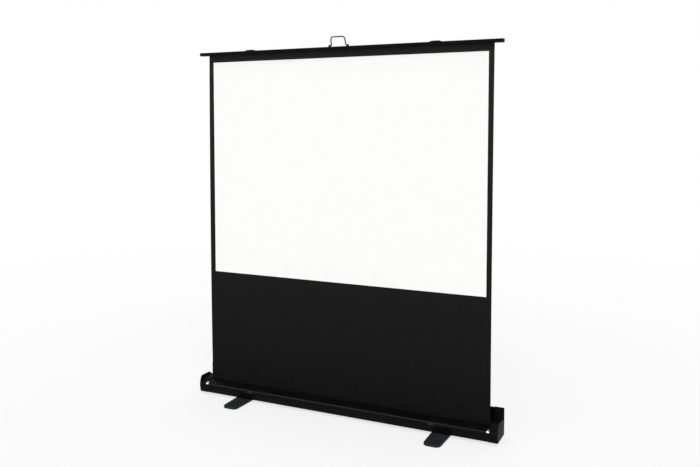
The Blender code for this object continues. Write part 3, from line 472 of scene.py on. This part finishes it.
cloth = {
    "halfWidth": 841.5, "bottom": 50, "top": 1991.5, "front": -7.7, "thickness": 0.4,
    "whiteHalfWidth": 812.8, "whiteBottom": 730, "whiteTop": 1949.2, "columns": 64, "rows": 48,
    "strips": (0, 7, 14),              # extra lines beside the white, for the curl
    "curl": 7, "curlWidth": 42, "slotTop": 90, "barBottom": 1985, "fullness": 0.7,
    "ripple": 0.25, "waves": (7, 3.1), "shift": 1,   # depth; radians for each metre across and up; radians
    "liftDrop": 1896.6,
}


def addCloth():
    form = bmesh.new()
    bmesh.ops.create_grid(form, x_segments=cloth["columns"], y_segments=cloth["rows"], size=0.5)
    height = cloth["top"] - cloth["bottom"]
    bmesh.ops.rotate(form, cent=(0, 0, 0), matrix=Matrix.Rotation(math.radians(90), 3, "X"), verts=form.verts)
    bmesh.ops.scale(form, vec=(2 * cloth["halfWidth"] * mm, 1, height * mm), verts=form.verts)
    bmesh.ops.translate(form, verts=form.verts, vec=(0, 0, (cloth["bottom"] + height / 2) * mm))
    white = cloth["whiteHalfWidth"]
    cuts = [((x * mm, 0, 0), (1, 0, 0)) for strip in cloth["strips"]
            for x in (-white - strip, white + strip)]
    cuts += [((0, 0, cloth[level] * mm), (0, 0, 1)) for level in ("whiteBottom", "whiteTop")]
    for place, normal in cuts:
        bmesh.ops.bisect_plane(form, geom=[*form.verts, *form.edges, *form.faces], plane_co=place,
                               plane_no=normal)
    across, up = cloth["waves"]
    for vert in form.verts:
        x, z = abs(vert.co.x) / mm, vert.co.z / mm
        reach = max(0, (x - cloth["halfWidth"] + cloth["curlWidth"]) / cloth["curlWidth"])
        rise = min(1, max(0, (z - cloth["slotTop"]) / (cloth["barBottom"] - cloth["slotTop"])))
        free = math.sin(math.pi * rise) ** cloth["fullness"]
        ripple = cloth["ripple"] * math.sin(vert.co.x * across + cloth["shift"]) * math.sin(vert.co.z * up)
        vert.co.y = (cloth["front"] - free * (cloth["curl"] * reach ** 2 + ripple)) * mm
    moveNew(form, bmesh.ops.extrude_face_region(form, geom=form.faces[:]), (0, cloth["thickness"], 0))
    bmesh.ops.recalc_face_normals(form, faces=form.faces)
    mapCloth(form)
    form.normal_update()
    for face in form.faces:
        middle = face.calc_center_median() / mm
        inside = abs(middle.x) < white and cloth["whiteBottom"] < middle.z < cloth["whiteTop"]
        face.material_index = 1 if inside and face.normal.y < -0.5 else 0
    sheet = addPiece("screenCloth", form, blackCloth, "case",
                     ["screen_fabric", "viewing_surface"])
    sheet.data.materials.append(whiteCloth)
    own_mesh(sheet)


# Scissor lift

lift = {
    "fixedX": 300, "rollX": -220, "middleX": 40, "lowZ": 29.5, "stage": 972.95, "bayY": 49.9, "layer": 4,
    "armLength": 1103.19, "armWidth": 22, "armThickness": 5, "armEdge": 0.6,
    "groove": 4.5, "grooveWall": 0.5, "grooveDepth": 0.35,
    "pinRadius": 4, "headRadius": 8, "headHeight": 1.5, "grip": 6.8, "railGrip": 10.3,
    # A rivet's head from its dimple out, in shares of its radius and height
    "head": ((0, 0.75), (0.3, 0.8), (0.42, 1), (0.72, 0.88), (0.93, 0.5), (1, 0)),
    # A slide roller, as radius and height: hub, flanges and tyre, then the pin behind the arm
    "roller": ((0, 5.6), (2.6, 5.6), (3.0, 6.5), (6.5, 6.5), (7.0, 5.7), (9.0, 5.7), (9.4, 6.5),
               (10.7, 6.5), (11.5, 5.8), (11.5, 3.2), (10.8, 2.6), (11.5, 2.0), (11.5, -0.6), (10.9, -1.2),
               (4, -1.2), (4, -6.8), (8, -6.8), (7.6, -8.0), (6, -8.3), (0, -8.3)),
}


def makeArm(startX, startZ, layerSide, lean):
    size = (lift["armLength"] + lift["armWidth"], lift["armThickness"], lift["armWidth"])
    form = bmesh.new()
    bmesh.ops.create_cube(form, size=1)
    bmesh.ops.scale(form, vec=[length * mm for length in size], verts=form.verts)
    ends = [edge for edge in form.edges if abs(edge.verts[0].co.y - edge.verts[1].co.y) > mm]
    roundEdges(form, ends, lift["armWidth"] / 2 * 0.999, 12, clamp=False)   # all but half round
    form.normal_update()
    flats = [face for face in form.faces if abs(face.normal.y) > 0.9]
    rim = [edge for edge in form.edges if len({face in flats for face in edge.link_faces}) == 2]
    roundEdges(form, rim, lift["armEdge"], clamp=False)
    form.normal_update()
    flats = [face for face in form.faces if abs(face.normal.y) > 0.99]
    bmesh.ops.inset_individual(form, faces=flats, thickness=lift["groove"] * mm, depth=0)
    bmesh.ops.inset_individual(form, faces=flats, thickness=lift["grooveWall"] * mm,
                               depth=-lift["grooveDepth"] * mm)
    bmesh.ops.translate(form, verts=form.verts, vec=(lift["armLength"] / 2 * mm, 0, 0))
    bmesh.ops.rotate(form, cent=(0, 0, 0), matrix=Matrix.Rotation(-math.radians(lean), 3, "Y"),
                     verts=form.verts)
    place = (startX * mm, (lift["bayY"] + layerSide * lift["layer"]) * mm, startZ * mm)
    bmesh.ops.translate(form, verts=form.verts, vec=place)
    return form


# A rivet through the stack, with a domed and dimpled head on either side
def makeRivet(x, z, grip):
    head = [(lift["headRadius"] * out, grip + lift["headHeight"] * up) for out, up in lift["head"]]
    half = [*head, (lift["pinRadius"], grip)]
    profile = half + [(radius, -height) for radius, height in reversed(half)]
    return makeTurned(profile, (x, lift["bayY"], z), "y")


# The arms in front lean to the left and those behind lean to the right
def addLift():
    fixed, roll, cross, low, stage = (lift[key] for key in ("fixedX", "rollX", "middleX", "lowZ", "stage"))
    middle, high = low + stage, low + stage + stage
    arms = (("lowerFrontArm", "lower_front_arm", fixed, low, -1),
            ("lowerRearArm", "lower_rear_arm", roll, low, 1),
            ("upperRearArm", "upper_rear_arm", roll, middle, 1),
            ("upperFrontArm", "upper_front_arm", fixed, middle, -1))
    for name, node, x, z, layerSide in arms:
        lean = armLean if layerSide > 0 else 180 - armLean
        addPiece(name, makeArm(x, z, layerSide, lean), armMetals[layerSide], node.replace("arm", "lift"),
                 [node])
    grip, railGrip = lift["grip"], lift["railGrip"]
    pins = (("lowerCrossPin", "lower_cross_pin", cross, low + stage / 2, grip, "lower_rear_lift"),
            ("leftElbowPin", "left_elbow_pin", roll, middle, grip, "upper_rear_lift"),
            ("rightElbowPin", "right_elbow_pin", fixed, middle, grip, "lower_rear_lift"),
            ("upperCrossPin", "upper_cross_pin", cross, middle + stage / 2, grip, "upper_front_lift"),
            ("basePivotPin", "base_pivot_pin", fixed, low, railGrip, "case"),
            ("topPivotPin", "top_pivot_pin", fixed, high, railGrip, "bar"))
    for name, node, x, z, reach, body in pins:
        addPiece(name, makeRivet(x, z, reach), zincSteel, body, [node])
    rollers = (("lowerSlideRoller", "lower_slide_roller", low, "-y", "lower_rear_lift"),
               ("upperSlideRoller", "upper_slide_roller", high, "y", "upper_front_lift"))
    for name, node, z, axis, body in rollers:
        addPiece(name, makeTurned(lift["roller"], (roll, lift["bayY"], z), axis), nylon, body,
                 [node])


# Rails: sheet bent to a channel, with end stops and rivets into the case or the brackets

rail = {
    "startX": -833.2, "endX": 330, "front": 39.9, "rear": 59.9, "wall": 1.6, "tall": 27.6, "bend": 2.2,
    "lowWeb": 16.1, "highWeb": 1988.8,
    "rivets": (-780, -560, -340, -120, 100, 250), "rivetRadius": 2.6, "rivetHeight": 0.25,
    "stopInset": 4, "stopLength": 5, "stopHeight": 9, "stopGap": 0.2, "stopRise": 5, "stopEdge": 1.2,
}


def addRail(name, node, webZ, up, body):
    front, rear, bend, wallEnd = rail["front"], rail["rear"], rail["bend"], webZ + up * rail["tall"]
    section = [(rear, wallEnd, 0), (rear, webZ, bend), (front, webZ, bend), (front, wallEnd, 0)]
    if up < 0:
        section.reverse()
    addPiece(name, extrudeSection(section, rail["startX"], rail["endX"], closed=False), millAluminium, body,
             [node], wall=rail["wall"], soften=0.25)
    inside, middle = webZ + up * rail["wall"], (front + rear) / 2
    axis = "z" if up > 0 else "-z"
    fittings = [makeScrew((x, middle, inside), axis, rail["rivetRadius"], rail["rivetHeight"])
                for x in rail["rivets"]]
    size = (rail["stopLength"], rear - front - 2 * (rail["wall"] + rail["stopGap"]), rail["stopHeight"])
    for x in (rail["startX"] + rail["stopInset"], rail["endX"] - rail["stopInset"]):
        place = (x, middle, inside + up * rail["stopRise"])
        fittings.append(makeBlock(size, place, rail["stopEdge"], 3))
    addPiece(name + "Stops", joinForms(fittings), nylon, body)


# Top bar, its caps and the brackets that carry the upper rail

bar = {
    "halfLength": 890, "front": -34.5, "rear": -4.5, "bottom": 1987.2, "top": 2005.2, "lip": -9.5,
    "wall": 1.5, "corner": 2.4, "gap": 0.3,
    "capLength": 8, "capOuterEdge": 1.4, "capInnerEdge": 0.3, "capScrewRadius": 2.4, "capScrewHeight": 0.3,
    "bracketX": (-400.5, 200.25), "bracketWidth": 40, "bracketWall": 2.5, "bracketSeat": 1989.1,
    "bracketBend": 3.2, "screwShift": 12, "screwRise": 8.5, "screwRadius": 3.4, "screwHeight": 1.8,
}


def addBar():
    front, rear, bottom, top = (bar[key] for key in ("front", "rear", "bottom", "top"))
    corner, gap = bar["corner"], bar["gap"]
    section = ((bar["lip"], bottom, 0), (front, bottom, corner), (front, top, corner), (rear, top, corner),
               (rear, bottom, 0))
    half = bar["halfLength"] - bar["capLength"] - gap
    addPiece("topBar", extrudeSection(section, -half, half, closed=False, steps=5), coatedAluminium, "bar",
             ["top_bar"], wall=bar["wall"], soften=0.3)
    for side, word, lower in sides:
        inner, outer = side * (bar["halfLength"] - bar["capLength"]), side * bar["halfLength"]
        corners = [(y, z, corner) for y, z in ((front, bottom), (front, top), (rear, top), (rear, bottom))]
        cap = extrudeSection(corners, inner, outer)
        roundWhere(cap, onPlane("x", outer), bar["capOuterEdge"], 4)
        roundWhere(cap, onPlane("x", inner), bar["capInnerEdge"])
        place = (outer - side * bar["capScrewHeight"], (front + rear) / 2, (bottom + top) / 2)
        flush = makeScrew(place, outwards[side], bar["capScrewRadius"], bar["capScrewHeight"])
        addPiece("barCap" + word, joinForms([cap, flush]), mouldedPlastic, "bar",
                 ["bar_cap_" + lower])
    back, seat, halfWidth, shift = rear + gap, bar["bracketSeat"], bar["bracketWidth"] / 2, bar["screwShift"]
    path = ((back, top - bar["wall"], 0), (back, seat, bar["bracketBend"]), (rail["rear"], seat, 0))
    rows = ((back + bar["bracketWall"], seat + bar["screwRise"], "y"),
            ((rail["front"] + rail["rear"]) / 2, seat + bar["bracketWall"], "z"))
    for index, x in enumerate(bar["bracketX"], start=1):
        bracket = extrudeSection(path, x - halfWidth, x + halfWidth, closed=False)
        addPiece("barBracket" + str(index), bracket, millAluminium, "bar",
                 ["bar_bracket_" + str(index)], wall=bar["bracketWall"], side=1, soften=0.5)
        screws = [makeScrew((screwX, y, z), axis, bar["screwRadius"], bar["screwHeight"])
                  for y, z, axis in rows for screwX in (x - shift, x + shift)]
        addPiece("bracketScrews" + str(index), joinForms(screws), zincSteel, "bar")


# Wire handle in its two clips

handle = {
    "axisY": -19.5, "axisZ": 2010.3, "halfBottom": 43.5, "halfTop": 40, "stub": 14, "rise": 48.4, "lean": 17,
    "radius": 3.4, "elbow": 6, "corner": 14,
    "clipStart": 49.5, "clipEnd": 58.2, "clipEdge": 0.6,
    "clip": ((-8.3, -4.8, 0.3), (-8.3, -3.2, 0.5), (-5.8, -2.6, 0.6), (-5.8, 5.8, 5.2), (5.8, 5.8, 5.2),
             (5.8, -2.6, 0.6), (8.3, -3.2, 0.5), (8.3, -4.8, 0.3)),
}


# A bent rod: straight runs joined by round bends. The handles of a point lie along its run: outside and
# inside the bend by shares of the bend's reach, and at an open end by a share of the run
rod = {"outside": 1.3, "inside": 0.45, "end": 0.1}


def addRod(name, corners, radius, finish, body, replaced):
    curve = bpy.data.curves.new(name, "CURVE")
    curve.dimensions = "3D"
    curve.bevel_depth = radius * mm
    curve.bevel_resolution = 6
    curve.resolution_u = 10
    curve.use_fill_caps = True
    stops = []
    for index, (corner, reach) in enumerate(corners):
        before = corners[index - 1][0] if index else None
        after = corners[index + 1][0] if index + 1 < len(corners) else None
        if before and after:
            back = (before - corner).normalized() * reach
            on = (after - corner).normalized() * reach
            stops.append((corner + back, corner + back * rod["outside"], corner + back * rod["inside"]))
            stops.append((corner + on, corner + on * rod["inside"], corner + on * rod["outside"]))
        else:
            run = (after - corner if after else corner - before) * rod["end"]
            stops.append((corner, corner - run, corner + run))
    spline = curve.splines.new("BEZIER")
    spline.bezier_points.add(len(stops) - 1)
    for point, (place, left, right) in zip(spline.bezier_points, stops):
        point.co, point.handle_left, point.handle_right = (mm * item for item in (place, left, right))
    curve.materials.append(finish)
    bent = bpy.data.objects.new(name, curve)
    bpy.context.scene.collection.objects.link(bent)
    placePiece(bent, body, replaced)


def addHandle():
    lean = Matrix.Rotation(math.radians(handle["lean"]), 3, "X")
    axis = Vector((0, handle["axisY"], handle["axisZ"]))
    bottom, top, rise = handle["halfBottom"], handle["halfTop"], handle["rise"]
    route = ((-bottom - handle["stub"], 0, 0), (-bottom, 0, handle["elbow"]), (-top, rise, handle["corner"]),
             (top, rise, handle["corner"]), (bottom, 0, handle["elbow"]), (bottom + handle["stub"], 0, 0))
    corners = [(axis + lean @ Vector((x, 0, z)), reach) for x, z, reach in route]
    addRod("handleBail", corners, handle["radius"], enamelledRod, "handle", ["handle_bail"])
    section = [(handle["axisY"] + y, handle["axisZ"] + z, reach) for y, z, reach in handle["clip"]]
    for side, word, lower in sides:
        start, end = side * handle["clipStart"], side * handle["clipEnd"]
        clip = extrudeSection(section, start, end)
        for x in (start, end):
            roundWhere(clip, onPlane("x", x), handle["clipEdge"])
        addPiece("handleClip" + word, clip, mouldedPlastic, "bar", ["handle_clip_" + lower])


# Latches on the bar and their keepers on the case

latch = {
    "x": 546, "axisY": -35, "axisZ": 2008, "barrel": 2.0, "curl": 250,   # degrees round the pin
    "wall": 1.2, "halfWidth": 20, "length": 70.67, "lip": 6.6, "bend": 1.6,
    "rib": (9, 44, 1.6), "ribStart": 36, "ribEdge": 0.75,
    "pin": ((0, 4.4), (1.6, 4.2), (1.9, 3.3), (0.8, 3.3)),   # radius and reach past the leaf
    "ear": ((-37, 2005.5, 0.3), (-37, 2009.7, 2), (-33, 2009.7, 1.8), (-29, 2006.8, 0.6),
            (-29, 2005.5, 0.3)),
    "earGap": 0.3, "earWidth": 3,
    "tab": (8, 9, 1.2), "tabEdge": 0.3, "tabShift": 3.5, "tabY": -31.5, "tabZ": 2006.1,
    "screwShift": 4, "screwRadius": 2.2, "screwHeight": 0.9,
}
keeper = {
    "hook": ((-64.6, 53.5, 0), (-68.6, 53.5, 0.7), (-68.6, 57.5, 0.9), (-63.7, 57.5, 0)),
    "plate": ((-65.6, 51, 0.2), (-66.7, 51.2, 0.4), (-63.5, 62.6, 0.4), (-62.4, 62.3, 0.2)),
    "hookHalf": 13, "plateHalf": 17,
}


# The leaf is one strip: curled round the pin, flat over the bar, and bent up at its free end
def makeLeaf(x):
    left, axisY, axisZ = (x - latch["halfWidth"]) * mm, latch["axisY"] * mm, latch["axisZ"] * mm
    seat, end = (latch["axisZ"] - latch["barrel"]) * mm, (latch["axisY"] + latch["length"]) * mm
    form = bmesh.new()
    start = form.verts.new((left, axisY, seat))
    bmesh.ops.spin(form, geom=[start], cent=(left, axisY, axisZ), axis=(1, 0, 0),
                   angle=-math.radians(latch["curl"]), steps=16)
    corner = form.verts.new((left, end, seat))
    tip = form.verts.new((left, end, seat + latch["lip"] * mm))
    form.edges.new((start, corner))
    form.edges.new((corner, tip))
    moveNew(form, bmesh.ops.extrude_edge_only(form, edges=form.edges[:]), (2 * latch["halfWidth"], 0, 0))
    roundWhere(form, lambda co: math.hypot(co.y - end, co.z - seat) < tiny, latch["bend"], 4)
    bmesh.ops.recalc_face_normals(form, faces=form.faces)
    form.normal_update()
    flat = max(form.faces, key=lambda face: face.calc_area())
    if flat.normal.z > 0:
        bmesh.ops.reverse_faces(form, faces=form.faces)
    return form


def addLatch(side, word, lower):
    x, halfWidth = side * latch["x"], latch["halfWidth"]
    top = latch["axisZ"] - latch["barrel"] + latch["wall"]
    addPiece("latchLeaf" + word, makeLeaf(x), paintedSteel, lower + "_latch",
             ["latch_leaf_" + lower], wall=latch["wall"], soften=0.3)
    rib = makeBlock(latch["rib"], (x, latch["axisY"] + latch["ribStart"], top), latch["ribEdge"], 3)
    addPiece("latchRib" + word, rib, paintedSteel, lower + "_latch")
    pin = [(radius, halfWidth + past) for radius, past in latch["pin"]]
    pin += [(radius, -height) for radius, height in reversed(pin)]
    parts = [makeTurned(pin, (x, latch["axisY"], latch["axisZ"]), "x", 16)]
    for earSide in (-1, 1):
        inner = x + earSide * (halfWidth + latch["earGap"])
        outer = inner + earSide * latch["earWidth"]
        tabX, screwX = outer + earSide * latch["tabShift"], outer + earSide * latch["screwShift"]
        parts.append(extrudeSection(latch["ear"], inner, outer))
        parts.append(makeBlock(latch["tab"], (tabX, latch["tabY"], latch["tabZ"]), latch["tabEdge"]))
        parts.append(makeScrew((screwX, latch["tabY"], latch["tabZ"] + latch["tab"][2] / 2), "z",
                               latch["screwRadius"], latch["screwHeight"]))
    addPiece("latchHinge" + word, joinForms(parts), paintedSteel, "bar",
             ["latch_hinge_" + lower])
    forms = [extrudeSection(keeper[part], x - keeper[part + "Half"], x + keeper[part + "Half"])
             for part in ("hook", "plate")]
    addPiece("latchKeeper" + word, joinForms(forms), paintedSteel, "case",
             ["latch_keeper_" + lower], soften=0.3)


# Feet with their pads

foot = {
    "x": 595, "halfLength": 207.5, "tipHalf": 44, "middleHalf": 50, "bottom": 2, "top": 13.7,
    "tipReach": 25, "topEdge": 2.2, "bottomEdge": 0.8, "border": 6, "borderSlope": 0.6, "borderDepth": 0.9,
    "recess": 9.3, "recessTop": 6.8, "bore": 5.3,
    "padY": 181.5, "padWidth": 58, "padLength": 24, "padTop": 1.7, "padThickness": 1.1, "padEdge": 0.3,
    "ribs": 6, "ribShare": 0.55, "ribInset": 1.5, "ribHeight": 0.9, "ribEdge": 0.2,
}


# Takes a form out of a piece, and leaves no doubled corners or edges
def cutAway(piece, tool):
    spareMesh = bpy.data.meshes.new("spareCutter")
    bmesh.ops.recalc_face_normals(tool, faces=tool.faces)
    tool.to_mesh(spareMesh)
    tool.free()
    cutter = bpy.data.objects.new("spareCutter", spareMesh)
    bpy.context.scene.collection.objects.link(cutter)
    modifier = piece.modifiers.new("cut", "BOOLEAN")
    modifier.operation = "DIFFERENCE"
    modifier.solver = "EXACT"
    modifier.object = cutter
    ready = piece.evaluated_get(bpy.context.evaluated_depsgraph_get())
    cut = bpy.data.meshes.new_from_object(ready)
    form = bmesh.new()
    form.from_mesh(cut)
    bmesh.ops.remove_doubles(form, verts=form.verts, dist=tiny)
    bmesh.ops.dissolve_degenerate(form, edges=form.edges, dist=tiny)
    cutManySided(form)
    form.to_mesh(cut)
    form.free()
    piece.modifiers.remove(modifier)
    old = piece.data
    piece.data = cut
    bpy.data.meshes.remove(old)
    bpy.data.objects.remove(cutter)
    bpy.data.meshes.remove(spareMesh)


def makeFoot(x):
    form = bmesh.new()
    tip, middle, long = foot["tipHalf"], foot["middleHalf"], foot["halfLength"]
    outline = ((-tip, -long), (tip, -long), (middle, 0), (tip, long), (-tip, long), (-middle, 0))
    corners = [form.verts.new(((x + px) * mm, py * mm, foot["bottom"] * mm)) for px, py in outline]
    grown = bmesh.ops.extrude_face_region(form, geom=[form.faces.new(corners)])
    moveNew(form, grown, (0, 0, foot["top"] - foot["bottom"]))
    upright = [edge for edge in form.edges if abs(edge.verts[0].co.z - edge.verts[1].co.z) > mm]
    roundEdges(form, upright, foot["tipReach"], 8)
    roundWhere(form, onPlane("z", foot["top"]), foot["topEdge"], 4)
    roundWhere(form, onPlane("z", foot["bottom"]), foot["bottomEdge"])
    bmesh.ops.recalc_face_normals(form, faces=form.faces)
    form.normal_update()
    top = [max((face for face in form.faces if face.normal.z > 0.99), key=lambda face: face.calc_area())]
    bmesh.ops.inset_region(form, faces=top, thickness=foot["border"] * mm, depth=0)
    bmesh.ops.inset_region(form, faces=top, thickness=foot["borderSlope"] * mm,
                           depth=-foot["borderDepth"] * mm)
    return form


# A thin sheet of rubber with ribs across its underside
def makePad(x, y):
    width, length, thickness = foot["padWidth"], foot["padLength"], foot["padThickness"]
    forms = [makeBlock((width, length, thickness), (x, y, foot["padTop"] - thickness / 2), foot["padEdge"])]
    pitch = length / foot["ribs"]
    size = (width - 2 * foot["ribInset"], pitch * foot["ribShare"], foot["ribHeight"])
    for index in range(foot["ribs"]):
        ribY = y - length / 2 + pitch * (index + 0.5)
        forms.append(makeBlock(size, (x, ribY, foot["ribHeight"] / 2), foot["ribEdge"]))
    return joinForms(forms)


def addFoot(side, word, lower):
    x = side * foot["x"]
    piece = addPiece("foot" + word, makeFoot(x), footPlastic, lower + "_foot",
                     ["foot_" + lower])
    recess, recessTop, bore = foot["recess"], foot["recessTop"], foot["bore"]
    below, above = -1, 20   # past the foot's two faces
    cutAway(piece, makeTurned(((0, below), (recess, below), (recess, recessTop), (bore, recessTop),
                               (bore, above), (0, above)), (x, 0, 0), "z"))
    piece.data.set_sharp_from_angle(angle=smoothUpTo)
    for end, endWord in ((-1, "front"), (1, "rear")):
        addPiece("footPad" + word + endWord.capitalize(), makePad(x, end * foot["padY"]), rubber,
                 lower + "_foot", ["foot_pad_" + lower + "_" + endWord])


def buildScreen():
    addCase()
    addWrap()
    addCloth()
    print("case and cloth made")
    addLift()
    addRail("baseRail", "base_rail", rail["lowWeb"], 1, "case")
    addRail("carrierRail", "carrier_rail", rail["highWeb"], -1, "bar")
    addBar()
    print("lift and bar made")
    addHandle()
    for side, word, lower in sides:
        addLatch(side, word, lower)
        addFoot(side, word, lower)
    print("handle, latches and feet made")


# CAD nodes that keep their shape get the finish of their slot
slotFinishes = {
    "case_coat": coatedAluminium, "latch_coat": paintedSteel, "black_plastic": nylon,
    "foot_plastic": footPlastic, "zinc_steel": zincSteel, "rail_steel": millAluminium,
    "tube_aluminium": millAluminium, "arm_aluminium": armMetals[1], "spring_steel": springWire,
    "handle_wire": enamelledRod, "black_fabric": blackCloth, "white_fabric": whiteCloth, "pad_rubber": rubber,
}


def finishNodes():
    for entry in frame["record"]["subparts"]:
        node = frame["nodes"][entry["node"]]
        for holder in node.material_slots:
            holder.material = slotFinishes[entry["material_slot"]]


# Studio: a white floor and a white surround; the soft key light stands over the camera

studio = {
    "floorHalf": 40, "floorZ": -0.0003, "floorColour": "#f7f7f7", "floorRough": 0.9, "floorSpecular": 0.1,
    "floorGlow": 0.7, "fadeStart": 1.5, "fadeEnd": 7, "ambient": 0.7,
    "key": {"power": 1.1, "softness": 38, "height": 45, "side": 25},
    "strip": {"power": 2.4, "softness": 25, "height": 50, "side": -39},   # lights reflections alone
}


# How far a ray comes straight from the camera, from a mirror or through glass
def addSeen(tree):
    light = addNode(tree, "LightPath")
    seen = light.outputs["Is Camera Ray"]
    for kind in ("Is Glossy Ray", "Is Transmission Ray"):
        seen = addNode(tree, "Math", {"operation": "MAXIMUM"},
                       links={0: seen, 1: light.outputs[kind]}).outputs[0]
    return seen


def addStudio():
    form = bmesh.new()
    bmesh.ops.create_grid(form, x_segments=1, y_segments=1, size=studio["floorHalf"])
    bmesh.ops.translate(form, verts=form.verts, vec=(0, 0, studio["floorZ"]))
    mesh = bpy.data.meshes.new("studioFloor")
    form.to_mesh(mesh)
    form.free()
    material, tree, shader = startMaterial("paintedFloor", 0, studio["floorSpecular"])
    shader.inputs["Base Color"].default_value = toLinear(studio["floorColour"])
    shader.inputs["Roughness"].default_value = studio["floorRough"]
    place = addNode(tree, "TexCoord").outputs["Object"]
    away = addNode(tree, "VectorMath", {"operation": "LENGTH"}, links={0: place}).outputs["Value"]
    white = addNode(tree, "MapRange", values={"From Min": studio["fadeStart"], "From Max": studio["fadeEnd"],
                                              "To Min": studio["floorGlow"]}, links={"Value": away})
    share = addNode(tree, "Math", {"operation": "MULTIPLY"}, links={0: addSeen(tree), 1: white.outputs[0]})
    glow = addNode(tree, "Emission")
    blend = addNode(tree, "MixShader", links={0: share.outputs[0], 1: shader.outputs[0], 2: glow.outputs[0]})
    tree.links.new(blend.outputs[0], tree.nodes["Material Output"].inputs["Surface"])
    mesh.materials.append(material)
    floor = bpy.data.objects.new("studioFloor", mesh)
    bpy.context.scene.collection.objects.link(floor)
    world = bpy.data.worlds.new("studio")
    world.use_nodes = True
    tree = world.node_tree
    level = addNode(tree, "MapRange", values={"To Min": studio["ambient"], "To Max": 1},
                    links={"Value": addSeen(tree)})
    background = tree.nodes["Background"]
    background.inputs["Color"].default_value = (1, 1, 1, 1)
    tree.links.new(level.outputs["Result"], background.inputs["Strength"])
    bpy.context.scene.world = world
    for name in ("key", "strip"):
        setting = studio[name]
        lamp = bpy.data.lights.new(name + "Light", "SUN")
        lamp.energy = setting["power"]
        lamp.angle = math.radians(setting["softness"])
        light = bpy.data.objects.new(name + "Light", lamp)
        light.rotation_euler = (math.radians(90 - setting["height"]), 0, math.radians(setting["side"]))
        light.visible_diffuse = name == "key"
        bpy.context.scene.collection.objects.link(light)


addCamera()
bpy.context.scene.view_settings.view_transform = "Standard"
buildScreen()
finishNodes()
addStudio()
